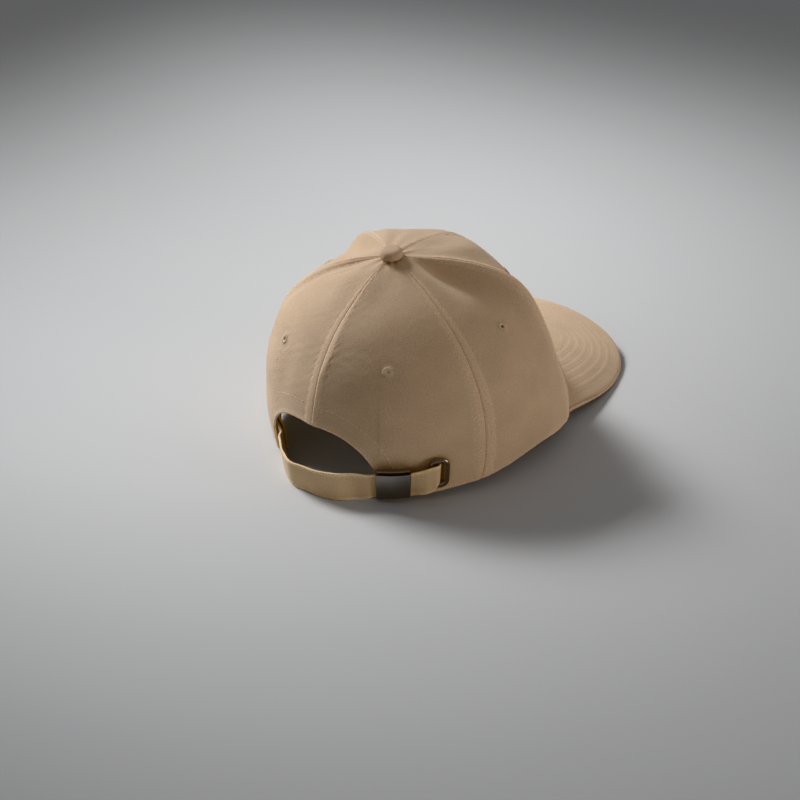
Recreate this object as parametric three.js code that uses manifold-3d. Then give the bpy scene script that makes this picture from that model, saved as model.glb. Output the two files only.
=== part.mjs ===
// A six-panel cap of cotton twill, resting on its brim and its back strap.
//
// Six sewn panels meet under a covered button. A curved brim is sewn to the front hem,
// a sweatband lines the hem, and the back has an arched opening closed by a strap.
// The strap's free end runs through a metal buckle and tucks into a metal ring.
//
// Units are millimetres. +Z is up, the brim points to -Y and the wearer's right is -X.
// An azimuth is in degrees round the crown: 0 at the back, 90 at the wearer's right,
// 180 at the front and -90 at the wearer's left.

import * as THREE from 'three';
import { mergeVertices } from 'three/addons/utils/BufferGeometryUtils.js';
import Module from 'manifold-3d';

const wasm = await Module();
wasm.setup();

// Where the middle of the head opening lies, so that the cap's box is centred on the origin
const CROWN_CENTRE = { x: 0, y: 14 };

// The hem seen from above: half an ellipse at the back and half of another at the front
const HEM = { halfWidth: 86.9, back: 100.6, front: 82.4 };
const PEAK = { y: 32.2, z: 118 };

// A row for each section of the crown, from the back to the front, alike on both sides.
// hem is the height of the lower edge. The other four shape the curve from the peak down to it:
// flat is how far out the top stays flat, swell how far the wall stands beyond the hem,
// steep how high the wall is upright, and lift how far the top rises above the peak.
const SECTION_COLUMNS = ['azimuth', 'hem', 'flat', 'swell', 'steep', 'lift'];
const SECTIONS = [
  [0, 0.6, 0.90, 8.0, 0.51, -20.5],
  [30, 1.2, 0.82, 12.5, 0.51, -18.0],
  [62, 7.0, 0.62, 18.5, 0.51, -11.5],
  [87, 12.7, 0.52, 14.5, 0.53, -5.5],
  [112, 10.5, 0.56, -1.5, 0.56, -0.5],
  [146, 18.5, 0.73, -31.5, 0.60, 2.5],
  [180, 22.8, 0.84, -46.0, 0.62, 2.5],
];

// Ridges and dents pushed out of or into that shape: place, reach and height of each.
// down runs from 0 at the peak to 1 at the hem.
const RELIEF = [
  // azimuth, down, reach round, reach down, height
  { azimuth: 112, down: 0.41, round: 9, along: 0.22, height: 11 },
  { azimuth: 94, down: 0.22, round: 13, along: 0.13, height: -4 },
  { azimuth: 119, down: 0.94, round: 12, along: 0.13, height: 1.6 },
  { azimuth: -108, down: 0.43, round: 7, along: 0.20, height: 5.2 },
  { azimuth: -122, down: 0.36, round: 13, along: 0.22, height: 3.5 },
  { azimuth: -88, down: 0.28, round: 11, along: 0.16, height: -3.5 },
  { azimuth: -52, down: 0.17, round: 9, along: 0.12, height: -2.2 },
  { azimuth: -62, down: 0.18, round: 6, along: 0.12, height: 1.0 },
  { azimuth: -50, down: 0.44, round: 26, along: 0.17, height: 2.6 },
  { azimuth: -50, down: 0.84, round: 26, along: 0.17, height: -1.6 },
];
const RELIEF_FADES_ABOVE = 0.2;

// Panels
const WALL = 1.4;
const GAP = 0.3;
const INNER_INSET = 2.4;
const PEAK_HOLE_RADIUS = 2.4;
const SEAM = { back: 0, backSide: 62, frontSide: 112, front: 180 };
const PANEL_ROWS = 16;
const PANEL_ROW_SPREAD = 1.15;
const SIDE_PANEL_COLUMNS = 11;
const FRONT_PANEL_COLUMNS = 13;

// The vent holes, one in each panel
const VENT_RADIUS = 1.3;
const VENT_SIDES = 10;
const VENTS = {
  back_right: { azimuth: 28.8, down: 0.485 },
  side_right: { azimuth: 87, down: 0.485 },
  front_right: { azimuth: 146, down: 0.5 },
  front_left: { azimuth: -146, down: 0.5 },
  side_left: { azimuth: -87, down: 0.49 },
  back_left: { azimuth: -29, down: 0.52 },
};

// The arched opening at the back, a little wider and squarer on the wearer's left
const ARCH = {
  height: 40,
  right: { halfAngle: 26, roundness: 2.4 },
  left: { halfAngle: 28, roundness: 2.6 },
};

// The brim: its edge seen from above, and the bowed and sloping sheet that it is cut from
const BRIM = {
  halfWidth: 77, centreY: -42, reach: 101, squareness: 3.1,
  bowRadius: 146, slope: 0.2, rootHeight: 22.6, thickness: 3,
  fromAzimuth: 118, clear: 0.5, edgeFold: 0.985,
};

const SWEATBAND = {
  fromAzimuth: 30, thickness: 1.0, height: 30, bottom: 0.6,
  clearOfStrap: 4.5, clearOfWall: 0.9, strapEndAzimuth: 58, easedAzimuth: 72,
};

// A row for each place along a band: where its lower and upper edges run, as heights,
// and how far its middle stands off the crown's outside at each edge
const BAND_COLUMNS = ['azimuth', 'bottom', 'top', 'offBottom', 'offTop'];
const STRAP_THICKNESS = 1.5;
const STRAP = [
  [-42, 3.2, 20.0, -2.9, -2.9],
  [-34, 2.0, 19.0, -2.9, -2.9],
  [-27, 0.8, 18.4, -2.8, -2.8],
  [-23.4, 0.3, 18.0, -2.2, -2.2],
  [-19.2, 0.05, 18.0, 1.0, 1.6],
  [-14.5, 0, 18.0, 4.8, 5.8],
  [-9, 0, 18.0, 8.7, 9.8],
  [-2, 0, 18.1, 10.9, 12.2],
  [6, 0, 18.3, 10.4, 10.8],
  [13, 0.2, 18.5, 8.6, 7.8],
  [19.5, 1.0, 18.8, 4.8, 5.0],
  [25.2, 2.7, 19.6, 2.4, 4.0],
  [31, 4.2, 20.9, 2.4, 4.8],
  [36.8, 5.4, 22.0, 2.5, 4.5],
  [40.3, 6.2, 23.9, 3.8, 4.3],
  [42.2, 7.0, 25.2, 4.9, 5.0],
  [43.9, 8.2, 26.0, 5.2, 5.3],
  [45.2, 11.6, 26.1, 4.6, 4.7],
  [45.9, 13.2, 25.8, 2.7, 2.7],
  [46.3, 13.3, 25.8, 0.4, 0.4],
  [46.6, 13.3, 25.8, -1.7, -1.7],
  [47.4, 13.3, 25.8, -3.0, -3.1],
  [49.3, 13.3, 25.6, -3.0, -3.1],
  [54.5, 13.3, 25.2, -3.0, -3.0],
];
const STRAP_STEPS = 66;
const BUCKLE_FROM = 25.2;
const BUCKLE_TO = 36.8;
const BUCKLE_STEPS = 6;

// The short tab that holds the buckle, folded round the edge of the crown
const TAB_THICKNESS = 1.0;
const TAB_STEPS = 18;
const TAB = [
  [38, 4.0, 13.6, -2.4, -2.4],
  [32, 3.4, 13.4, -2.4, -2.4],
  [27, 3.0, 13.2, -2.4, -2.4],
  [24.2, 2.9, 13.0, -2.3, -2.3],
  [23.0, 2.9, 13.0, -1.3, -1.3],
  [22.9, 2.9, 13.0, 0.1, 0.1],
  [23.6, 2.9, 13.0, 0.9, 0.9],
];

const FRAME = { wall: 0.8, clear: 0.4, front: 1.1, lip: 1.2 };
const COVER = { thickness: 1.0, setBack: 0.2, swell: 0.3, bevel: 0.5 };
const HINGE = { radius: 1.0, above: 2.45, out: 0.1, sides: 10, shortBy: 0.004 };
const RING = {
  azimuth: 46, height: 19.5, halfWidth: 4.2, halfHeight: 8.7, corner: 3.4,
  barWidth: 3.6, barDepth: 2.7, clear: 0.4, sides: 10, cornerSteps: 6, straightSteps: 3,
};
const RING_HOLE = {
  halfWidth: 2.6, halfHeight: 7.6, corner: 2.0, depth: 12, cornerSteps: 3, straightSteps: 1,
};

const BUTTON = { radius: 6.6, height: 5.6, shankRadius: 1.5, shankLength: 2.2, tilt: 9, sides: 20 };

// Colours
const TWILL = { color: 0xa98f70, roughness: 0.92, metalness: 0 };
const TWILL_INSIDE = { color: 0x8c6f45, roughness: 0.95, metalness: 0 };
const DARK_METAL = { color: 0x4d463e, roughness: 0.42, metalness: 0.9 };

const radians = THREE.MathUtils.degToRad;
const sameTurn = (degrees) => THREE.MathUtils.euclideanModulo(degrees + 180, 360) - 180;

// A smooth curve through a table's column. The table is mirrored past both of its ends.
function sectionValue(name, azimuth) {
  const column = SECTION_COLUMNS.indexOf(name);
  const turn = Math.abs(sameTurn(azimuth));
  const last = SECTIONS.length - 1;
  const row = (i) => {
    if (i < 0) return [-SECTIONS[1][0], SECTIONS[1][column]];
    if (i > last) return [360 - SECTIONS[last - 1][0], SECTIONS[last - 1][column]];
    return [SECTIONS[i][0], SECTIONS[i][column]];
  };
  let i = 0;
  while (i < last - 1 && turn > SECTIONS[i + 1][0]) i += 1;
  const [before, from, to, after] = [row(i - 1), row(i), row(i + 1), row(i + 2)];
  const width = to[0] - from[0];
  const u = (turn - from[0]) / width;
  const slopeFrom = (to[1] - before[1]) / (to[0] - before[0]) * width;
  const slopeTo = (after[1] - from[1]) / (after[0] - from[0]) * width;
  return (2 * u ** 3 - 3 * u ** 2 + 1) * from[1] + (u ** 3 - 2 * u ** 2 + u) * slopeFrom
    + (3 * u ** 2 - 2 * u ** 3) * to[1] + (u ** 3 - u ** 2) * slopeTo;
}

// The hem's point at an azimuth, from above
function hemPoint(azimuth) {
  const a = radians(azimuth);
  const depth = Math.cos(a) > 0 ? HEM.back : HEM.front;
  return new THREE.Vector2(-HEM.halfWidth * Math.sin(a), depth * Math.cos(a));
}

// The crown without its ridges and dents: a cubic curve from the peak down to the hem
function smoothCrown(azimuth, down) {
  const hem = hemPoint(azimuth);
  const hemHeight = sectionValue('hem', azimuth);
  const reach = Math.hypot(hem.x, hem.y - PEAK.y);
  const rise = PEAK.z - hemHeight;
  const up = 1 - down;
  const out = 3 * up * up * down * sectionValue('flat', azimuth) * reach
    + 3 * up * down * down * (reach + sectionValue('swell', azimuth)) + down ** 3 * reach;
  const z = up ** 3 * PEAK.z + 3 * up * up * down * (PEAK.z + sectionValue('lift', azimuth))
    + 3 * up * down * down * (hemHeight + sectionValue('steep', azimuth) * rise) + down ** 3 * hemHeight;
  return new THREE.Vector3(hem.x / reach * out, PEAK.y + (hem.y - PEAK.y) / reach * out, z);
}

function outwardNormal(surface, azimuth, down) {
  const [turn, step] = [0.05, 0.001];
  const round = surface(azimuth + turn, down).sub(surface(azimuth - turn, down));
  const along = surface(azimuth, down + step).sub(surface(azimuth, down - step));
  return along.cross(round).normalize();
}

function reliefHeight(azimuth, down) {
  const fade = THREE.MathUtils.smoothstep(down, 0, RELIEF_FADES_ABOVE);
  let height = 0;
  for (const bump of RELIEF) {
    const u = sameTurn(azimuth - bump.azimuth) / bump.round;
    const v = (down - bump.down) / bump.along;
    height += fade * bump.height * Math.exp(-(u * u + v * v));
  }
  return height;
}

// The outside of the crown
function crown(azimuth, down) {
  const normal = outwardNormal(smoothCrown, azimuth, down);
  return smoothCrown(azimuth, down).addScaledVector(normal, reliefHeight(azimuth, down));
}

function crownInside(azimuth, down, depth) {
  return crown(azimuth, down).addScaledVector(outwardNormal(crown, azimuth, down), -depth);
}

// How far down the crown a height lies, on its lower half or just below its hem
function downAtHeight(azimuth, z) {
  const halvings = 30;
  let high = 0.5;
  let low = 1.25;
  for (let i = 0; i < halvings; i += 1) {
    const middle = (high + low) / 2;
    if (crown(azimuth, middle).z > z) high = middle; else low = middle;
  }
  return (high + low) / 2;
}

// How far down a panel goes at an azimuth: to the arch, or past it to the hem
function lowerEdge(azimuth) {
  const turn = sameTurn(azimuth);
  const { halfAngle, roundness } = turn < 0 ? ARCH.left : ARCH.right;
  const across = Math.abs(turn) / halfAngle;
  if (across >= 1) return 1;
  const height = ARCH.height * (1 - across ** roundness) ** (1 / roundness);
  return Math.min(1, downAtHeight(azimuth, height));
}

function upperEdge(azimuth) {
  const hem = hemPoint(azimuth);
  return PEAK_HOLE_RADIUS / (3 * sectionValue('flat', azimuth) * Math.hypot(hem.x, hem.y - PEAK.y));
}

// A closed solid from triangles, turned the right way out
function solid(points, triangles) {
  let volume = 0;
  for (const [a, b, c] of triangles) volume += points[a].dot(points[b].clone().cross(points[c]));
  const faces = volume < 0 ? triangles.map(([a, b, c]) => [a, c, b]) : triangles;
  const geometry = new THREE.BufferGeometry();
  geometry.setAttribute('position', new THREE.Float32BufferAttribute(points.flatMap((p) => p.toArray()), 3));
  geometry.setIndex(faces.flat());
  return geometry;
}

// A wall between two grids of points, closed round its rim
function wallSolid(outer, inner) {
  const columns = outer.length;
  const rows = outer[0].length;
  const points = [...outer.flat(), ...inner.flat()];
  const at = (layer, i, j) => layer * columns * rows + i * rows + j;
  const triangles = [];
  const quad = (a, b, c, d) => triangles.push([a, b, c], [a, c, d]);
  for (let i = 0; i < columns - 1; i += 1) {
    for (let j = 0; j < rows - 1; j += 1) {
      quad(at(0, i, j), at(0, i + 1, j), at(0, i + 1, j + 1), at(0, i, j + 1));
      quad(at(1, i, j), at(1, i, j + 1), at(1, i + 1, j + 1), at(1, i + 1, j));
    }
    quad(at(0, i, 0), at(1, i, 0), at(1, i + 1, 0), at(0, i + 1, 0));
    quad(at(0, i, rows - 1), at(0, i + 1, rows - 1), at(1, i + 1, rows - 1), at(1, i, rows - 1));
  }
  for (let j = 0; j < rows - 1; j += 1) {
    quad(at(0, 0, j), at(0, 0, j + 1), at(1, 0, j + 1), at(1, 0, j));
    quad(at(0, columns - 1, j), at(1, columns - 1, j), at(1, columns - 1, j + 1), at(0, columns - 1, j + 1));
  }
  return solid(points, triangles);
}

// A solid swept through sections with the same number of points, with end faces or as a loop
function sweptSolid(sections, loop = false) {
  const count = sections[0].length;
  const points = sections.flat();
  const triangles = [];
  const turns = loop ? sections.length : sections.length - 1;
  for (let i = 0; i < turns; i += 1) {
    const next = (i + 1) % sections.length;
    for (let j = 0; j < count; j += 1) {
      const [a, b] = [i * count + j, i * count + (j + 1) % count];
      const [c, d] = [next * count + (j + 1) % count, next * count + j];
      triangles.push([a, b, c], [a, c, d]);
    }
  }
  if (!loop) {
    const end = (sections.length - 1) * count;
    for (const [a, b, c] of THREE.ShapeUtils.triangulateShape(flatten(sections[0]), [])) {
      triangles.push([a, c, b], [end + a, end + b, end + c]);
    }
  }
  return solid(points, triangles);
}

// A section's points in two axes of its own plane, listed the way round that they run
function flatten(section) {
  const spots = section.map((p) => p.clone().sub(section[0]));
  const across = spots[1].clone().normalize();
  const normal = new THREE.Vector3();
  spots.forEach((p, i) => normal.add(p.clone().cross(spots[(i + 1) % spots.length])));
  const upward = normal.normalize().cross(across);
  return spots.map((p) => new THREE.Vector2(p.dot(across), p.dot(upward)));
}

function toManifold(geometry) {
  const bare = geometry.clone();
  for (const name of ['normal', 'uv']) bare.deleteAttribute(name);
  const merged = mergeVertices(bare, 1e-4);
  return new wasm.Manifold(new wasm.Mesh({
    numProp: 3,
    vertProperties: Float32Array.from(merged.attributes.position.array),
    triVerts: Uint32Array.from(merged.index.array),
  }));
}

function cut(geometry, cutters) {
  let result = toManifold(geometry);
  for (const cutter of cutters) result = result.subtract(toManifold(cutter));
  const mesh = result.getMesh();
  const cleaned = new THREE.BufferGeometry();
  cleaned.setAttribute('position', new THREE.Float32BufferAttribute(mesh.vertProperties, 3));
  cleaned.setIndex([...mesh.triVerts]);
  return cleaned;
}

// Axes at a point of the crown: out of the cloth, level round it, and up it
function crownAxes(azimuth, down) {
  const out = outwardNormal(crown, azimuth, down);
  const round = new THREE.Vector3(0, 0, 1).cross(out).normalize();
  const up = out.clone().cross(round).normalize();
  return { origin: crown(azimuth, down), out, round, up };
}

function ventCutter({ azimuth, down }) {
  const { origin, out } = crownAxes(azimuth, down);
  const geometry = new THREE.CylinderGeometry(VENT_RADIUS, VENT_RADIUS, 6 * WALL, VENT_SIDES);
  geometry.applyQuaternion(new THREE.Quaternion().setFromUnitVectors(new THREE.Vector3(0, 1, 0), out));
  return geometry.translate(origin.x, origin.y, origin.z);
}

function roundedRectangle({ halfWidth, halfHeight, corner, cornerSteps, straightSteps }) {
  const points = [];
  const corners = [[1, 1, 0], [-1, 1, 90], [-1, -1, 180], [1, -1, 270]];
  corners.forEach(([sx, sy, start], k) => {
    for (let i = 0; i <= cornerSteps; i += 1) {
      const a = radians(start + 90 * i / cornerSteps);
      const [cx, cy] = [sx * (halfWidth - corner), sy * (halfHeight - corner)];
      points.push(new THREE.Vector2(cx + corner * Math.cos(a), cy + corner * Math.sin(a)));
    }
    const upright = k % 2 === 1;
    const length = upright ? 2 * (halfHeight - corner) : 2 * (halfWidth - corner);
    const from = points[points.length - 1].clone();
    const heading = [new THREE.Vector2(-1, 0), new THREE.Vector2(0, -1),
      new THREE.Vector2(1, 0), new THREE.Vector2(0, 1)][k];
    const steps = upright ? straightSteps : 1;
    for (let i = 1; i < steps; i += 1) points.push(from.clone().addScaledVector(heading, length * i / steps));
  });
  return points;
}

function ringHoleCutter() {
  const { origin, out, round, up } = crownAxes(RING.azimuth, downAtHeight(RING.azimuth, RING.height));
  const geometry = new THREE.ExtrudeGeometry(new THREE.Shape(roundedRectangle(RING_HOLE)), {
    depth: RING_HOLE.depth, bevelEnabled: false,
  });
  geometry.translate(0, 0, -RING_HOLE.depth / 2);
  geometry.applyMatrix4(new THREE.Matrix4().makeBasis(round, up, out).setPosition(origin));
  return geometry;
}

// One crown panel between two seams, with its vent hole, and open to the ring if it holds it
function panelGeometry(fromAzimuth, toAzimuth, columns, vent) {
  const outer = [];
  const inner = [];
  for (const share of columns) {
    const outerColumn = [];
    const innerColumn = [];
    const azimuth = THREE.MathUtils.lerp(fromAzimuth, toAzimuth, share);
    const top = upperEdge(azimuth);
    const bottom = lowerEdge(azimuth);
    for (let j = 0; j <= PANEL_ROWS; j += 1) {
      const down = THREE.MathUtils.lerp(top, bottom, (j / PANEL_ROWS) ** PANEL_ROW_SPREAD);
      const middle = smoothCrown(azimuth, down);
      const radius = Math.hypot(middle.x, middle.y - PEAK.y);
      const inset = THREE.MathUtils.radToDeg(GAP / 2 / radius) * (1 - 2 * share);
      outerColumn.push(crown(azimuth + inset, down));
      innerColumn.push(crownInside(azimuth + INNER_INSET * inset, down, WALL));
    }
    outer.push(outerColumn);
    inner.push(innerColumn);
  }
  const cutters = [ventCutter(vent)];
  if (fromAzimuth < RING.azimuth && RING.azimuth < toAzimuth) cutters.push(ringHoleCutter());
  return cut(wallSolid(outer, inner), cutters);
}

function evenColumns(count) {
  return Array.from({ length: count + 1 }, (_, i) => i / count);
}

// Columns of a back panel, closer together where the arch comes down steeply
function archColumns(side) {
  const sharesOfArch = [0, 0.19, 0.38, 0.54, 0.67, 0.79, 0.885, 0.954, 0.988, 1.008];
  const azimuths = [...sharesOfArch.map((share) => share * side.halfAngle), 31, 35, 40, 45, 50, 56, SEAM.backSide];
  const shares = azimuths.map((azimuth) => azimuth / SEAM.backSide);
  return side === ARCH.left ? shares.map((share) => 1 - share).reverse() : shares;
}

// The sheet that the brim is cut from: its underside's height
function brimUnderside(x, y) {
  const bow = BRIM.bowRadius - Math.sqrt(BRIM.bowRadius ** 2 - x * x);
  return BRIM.rootHeight - bow - BRIM.slope * (-HEM.front - y);
}

function brimGeometry() {
  const columns = 30;
  const rows = 8;
  const upper = [];
  const lower = [];
  const power = 2 / BRIM.squareness;
  for (let i = 0; i <= columns; i += 1) {
    const turn = THREE.MathUtils.lerp(BRIM.fromAzimuth, 360 - BRIM.fromAzimuth, i / columns);
    const rootDown = Math.min(1, downAtHeight(turn, sectionValue('hem', turn)));
    const hem = crown(turn, rootDown);
    const root = new THREE.Vector2(hem.x, hem.y);
    root.setLength(root.length() + BRIM.clear);
    const sweep = radians(THREE.MathUtils.lerp(-90, 90, i / columns));
    const edge = new THREE.Vector2(
      BRIM.halfWidth * Math.sign(Math.sin(sweep)) * Math.abs(Math.sin(sweep)) ** power,
      BRIM.centreY - BRIM.reach * Math.abs(Math.cos(sweep)) ** power,
    );
    const upperColumn = [];
    const lowerColumn = [];
    for (let j = 0; j <= rows; j += 1) {
      const atEdge = j === rows;
      const spot = root.clone().lerp(edge, atEdge ? 1 : BRIM.edgeFold * j / (rows - 1));
      const under = brimUnderside(spot.x, spot.y);
      const rounding = atEdge ? BRIM.thickness * 0.3 : 0;
      upperColumn.push(new THREE.Vector3(spot.x, spot.y, under + BRIM.thickness - rounding));
      lowerColumn.push(new THREE.Vector3(spot.x, spot.y, under + rounding));
    }
    upper.push(upperColumn);
    lower.push(lowerColumn);
  }
  return wallSolid(upper, lower);
}

// A band that lines the hem from one side of the opening round the front to the other
function sweatbandGeometry() {
  const columns = 64;
  const rows = 3;
  const outer = [];
  const inner = [];
  for (let i = 0; i <= columns; i += 1) {
    const azimuth = THREE.MathUtils.lerp(SWEATBAND.fromAzimuth, 360 - SWEATBAND.fromAzimuth, i / columns);
    const turn = Math.abs(sameTurn(azimuth));
    const eased = THREE.MathUtils.smoothstep(turn, SWEATBAND.strapEndAzimuth, SWEATBAND.easedAzimuth);
    const depth = THREE.MathUtils.lerp(SWEATBAND.clearOfStrap, WALL + SWEATBAND.clearOfWall, eased);
    const bottom = sectionValue('hem', azimuth) + SWEATBAND.bottom;
    const outerColumn = [];
    const innerColumn = [];
    for (let j = 0; j <= rows; j += 1) {
      const down = downAtHeight(azimuth, bottom + SWEATBAND.height * (1 - j / rows));
      outerColumn.push(crownInside(azimuth, down, depth));
      innerColumn.push(crownInside(azimuth, down, depth + SWEATBAND.thickness));
    }
    outer.push(outerColumn);
    inner.push(innerColumn);
  }
  return wallSolid(outer, inner);
}

// Two smooth lines through a band's table: along its lower edge and along its upper edge
function bandEdges(table) {
  const edge = (heightName, offName) => new THREE.CatmullRomCurve3(table.map((row) => {
    const [azimuth, z, off] = ['azimuth', heightName, offName].map((name) => row[BAND_COLUMNS.indexOf(name)]);
    const { origin, out } = crownAxes(azimuth, downAtHeight(azimuth, z));
    const level = new THREE.Vector3(out.x, out.y, 0).normalize();
    return new THREE.Vector3(origin.x, origin.y, z).addScaledVector(level, off);
  }));
  return { lower: edge('bottom', 'offBottom'), upper: edge('top', 'offTop') };
}

// Axes on a band at a share of its length: out of its face, and up it from its lower edge
function bandAxes(edges, share) {
  const foot = edges.lower.getPoint(share);
  const head = edges.upper.getPoint(share);
  const heading = edges.lower.getTangent(share).add(edges.upper.getTangent(share)).setZ(0).normalize();
  const out = new THREE.Vector3(-heading.y, heading.x, 0).negate();
  const up = head.clone().sub(foot);
  const width = up.length();
  return { foot, out, up: up.normalize(), width };
}

function bandPoint(axes, out, up) {
  return axes.foot.clone().addScaledVector(axes.out, out).addScaledVector(axes.up, up);
}

function bandGeometry(table, thickness, steps) {
  const edges = bandEdges(table);
  const sections = [];
  for (let i = 0; i <= steps; i += 1) {
    const axes = bandAxes(edges, i / steps);
    const half = thickness / 2;
    sections.push([
      bandPoint(axes, half, 0), bandPoint(axes, half, axes.width),
      bandPoint(axes, -half, axes.width), bandPoint(axes, -half, 0),
    ]);
  }
  return sweptSolid(sections);
}

// Pieces of the buckle follow the strap: a section drawn from its foot, swept along it
function alongBuckle(shortBy, drawSection) {
  const edges = bandEdges(STRAP);
  const share = (azimuth) => STRAP.findIndex((row) => row[0] === azimuth) / (STRAP.length - 1);
  const from = share(BUCKLE_FROM) + shortBy;
  const to = share(BUCKLE_TO) - shortBy;
  const sections = [];
  for (let i = 0; i <= BUCKLE_STEPS; i += 1) {
    const along = i / BUCKLE_STEPS;
    const axes = bandAxes(edges, THREE.MathUtils.lerp(from, to, along));
    sections.push(drawSection(axes, along).map(([out, up]) => bandPoint(axes, out, up)));
  }
  return sweptSolid(sections);
}

function buckleFrameGeometry() {
  const face = STRAP_THICKNESS / 2;
  return alongBuckle(0, (axes) => {
    const back = -face - FRAME.clear;
    const front = FRAME.front;
    return [
      [back - FRAME.wall, -FRAME.lip], [front, -FRAME.lip], [front, -FRAME.clear], [back, -FRAME.clear],
      [back, axes.width + FRAME.clear], [front, axes.width + FRAME.clear],
      [front, axes.width + FRAME.lip], [back - FRAME.wall, axes.width + FRAME.lip],
    ];
  });
}

function buckleCoverGeometry() {
  const back = FRAME.front + GAP;
  return alongBuckle(0, (axes, along) => {
    const front = back + COVER.thickness + COVER.swell * Math.sin(Math.PI * along);
    const top = axes.width + FRAME.lip - COVER.setBack;
    const bottom = -FRAME.lip + COVER.setBack;
    const { bevel } = COVER;
    return [[back, bottom], [front - bevel, bottom], [front, bottom + bevel],
      [front, top - bevel], [front - bevel, top], [back, top]];
  });
}

function buckleHingeGeometry() {
  return alongBuckle(HINGE.shortBy, (axes) => Array.from({ length: HINGE.sides }, (_, i) => {
    const a = 2 * Math.PI * i / HINGE.sides;
    return [HINGE.out + HINGE.radius * Math.cos(a), axes.width + HINGE.above + HINGE.radius * Math.sin(a)];
  }));
}

function ringGeometry() {
  const { origin, out, round, up } = crownAxes(RING.azimuth, downAtHeight(RING.azimuth, RING.height));
  const path = roundedRectangle(RING);
  const lift = RING.barDepth / 2 + RING.clear;
  const sections = path.map((spot, i) => {
    const before = path[(i - 1 + path.length) % path.length];
    const after = path[(i + 1) % path.length];
    const heading = after.clone().sub(before).normalize();
    return Array.from({ length: RING.sides }, (_, k) => {
      const a = 2 * Math.PI * k / RING.sides;
      const beside = RING.barWidth / 2 * Math.cos(a);
      return origin.clone()
        .addScaledVector(round, spot.x + heading.y * beside)
        .addScaledVector(up, spot.y - heading.x * beside)
        .addScaledVector(out, lift + RING.barDepth / 2 * Math.sin(a));
    });
  });
  return sweptSolid(sections, true);
}

// The covered button: a dome with a short shank through the hole where the panels meet
function buttonGeometry() {
  const { radius, height, shankRadius, shankLength } = BUTTON;
  const profile = [
    [0, -shankLength], [shankRadius, -shankLength], [shankRadius, 0.35], [radius - 0.8, -0.35],
    [radius - 0.1, 0.1], [radius, 0.9], [radius * 0.95, 2.3], [radius * 0.8, 3.9],
    [radius * 0.55, 5.0], [radius * 0.27, 5.5], [0, height],
  ];
  const geometry = new THREE.LatheGeometry(profile.map(([r, y]) => new THREE.Vector2(r, y)), BUTTON.sides);
  geometry.rotateX(Math.PI / 2);
  return geometry;
}

const cap = new THREE.Group();
cap.position.set(CROWN_CENTRE.x, CROWN_CENTRE.y, 0);

function add(name, geometry, finish) {
  const mesh = new THREE.Mesh(geometry, new THREE.MeshStandardMaterial(finish));
  mesh.name = name;
  cap.add(mesh);
  return mesh;
}

const panels = [
  ['back_right', SEAM.back, SEAM.backSide, archColumns(ARCH.right)],
  ['side_right', SEAM.backSide, SEAM.frontSide, evenColumns(SIDE_PANEL_COLUMNS)],
  ['front_right', SEAM.frontSide, SEAM.front, evenColumns(FRONT_PANEL_COLUMNS)],
  ['front_left', -SEAM.front, -SEAM.frontSide, evenColumns(FRONT_PANEL_COLUMNS)],
  ['side_left', -SEAM.frontSide, -SEAM.backSide, evenColumns(SIDE_PANEL_COLUMNS)],
  ['back_left', -SEAM.backSide, -SEAM.back, archColumns(ARCH.left)],
];
for (const [place, from, to, columns] of panels) {
  add(`crown_panel_${place}`, panelGeometry(from, to, columns, VENTS[place]), TWILL);
}
add('brim', brimGeometry(), TWILL);
add('sweatband', sweatbandGeometry(), TWILL_INSIDE);
add('strap', bandGeometry(STRAP, STRAP_THICKNESS, STRAP_STEPS), TWILL);
add('buckle_tab', bandGeometry(TAB, TAB_THICKNESS, TAB_STEPS), TWILL);
add('buckle_frame', buckleFrameGeometry(), DARK_METAL);
add('buckle_cover', buckleCoverGeometry(), DARK_METAL);
add('buckle_hinge', buckleHingeGeometry(), DARK_METAL);
add('strap_ring', ringGeometry(), DARK_METAL);

const button = add('button', buttonGeometry(), TWILL);
button.position.set(0, PEAK.y, PEAK.z + GAP);
button.rotation.x = -radians(BUTTON.tilt);

export default cap;
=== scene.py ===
"""A khaki six-panel cap of cotton twill that rests on its brim and its back strap, seen from behind.

Sizes are in millimetres in the row's frame: +Z is up, the brim points to -Y and the wearer's right is -X.
An azimuth is in degrees round the crown: 0 at the back, 90 at the wearer's right, 180 at the front. A share
down is 0 at the crown's peak and 1 at its hem.
"""

import math

import bmesh
import bpy
import numpy as np
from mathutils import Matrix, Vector


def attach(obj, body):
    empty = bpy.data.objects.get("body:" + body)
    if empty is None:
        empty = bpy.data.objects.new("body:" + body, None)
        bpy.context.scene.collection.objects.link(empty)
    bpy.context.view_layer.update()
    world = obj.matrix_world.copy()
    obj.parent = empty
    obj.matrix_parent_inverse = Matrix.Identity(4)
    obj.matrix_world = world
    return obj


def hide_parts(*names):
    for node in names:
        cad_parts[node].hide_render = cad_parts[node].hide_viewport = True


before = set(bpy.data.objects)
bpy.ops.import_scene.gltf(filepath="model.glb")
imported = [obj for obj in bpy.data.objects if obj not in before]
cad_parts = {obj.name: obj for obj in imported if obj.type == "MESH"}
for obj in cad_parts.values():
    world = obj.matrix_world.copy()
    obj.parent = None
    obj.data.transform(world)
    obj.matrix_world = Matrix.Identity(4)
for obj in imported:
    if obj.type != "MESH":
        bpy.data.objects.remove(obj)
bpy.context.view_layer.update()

# Camera, studio light and floor. A long lens sees the cap from behind and from the wearer's right, a little
# from above. A softbox on the wearer's left and a weak reflector light it, on pale backdrop paper.

CAMERA_PLACE = (-600.92, 790.41, 602.07)
CAMERA_TARGET = (-2.58, 41.75, 21.55)
CAMERA_LENS, SENSOR_WIDTH = 85.08, 36
CAMERA_CLIP_M = (0.05, 20)
MM = 0.001


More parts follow.
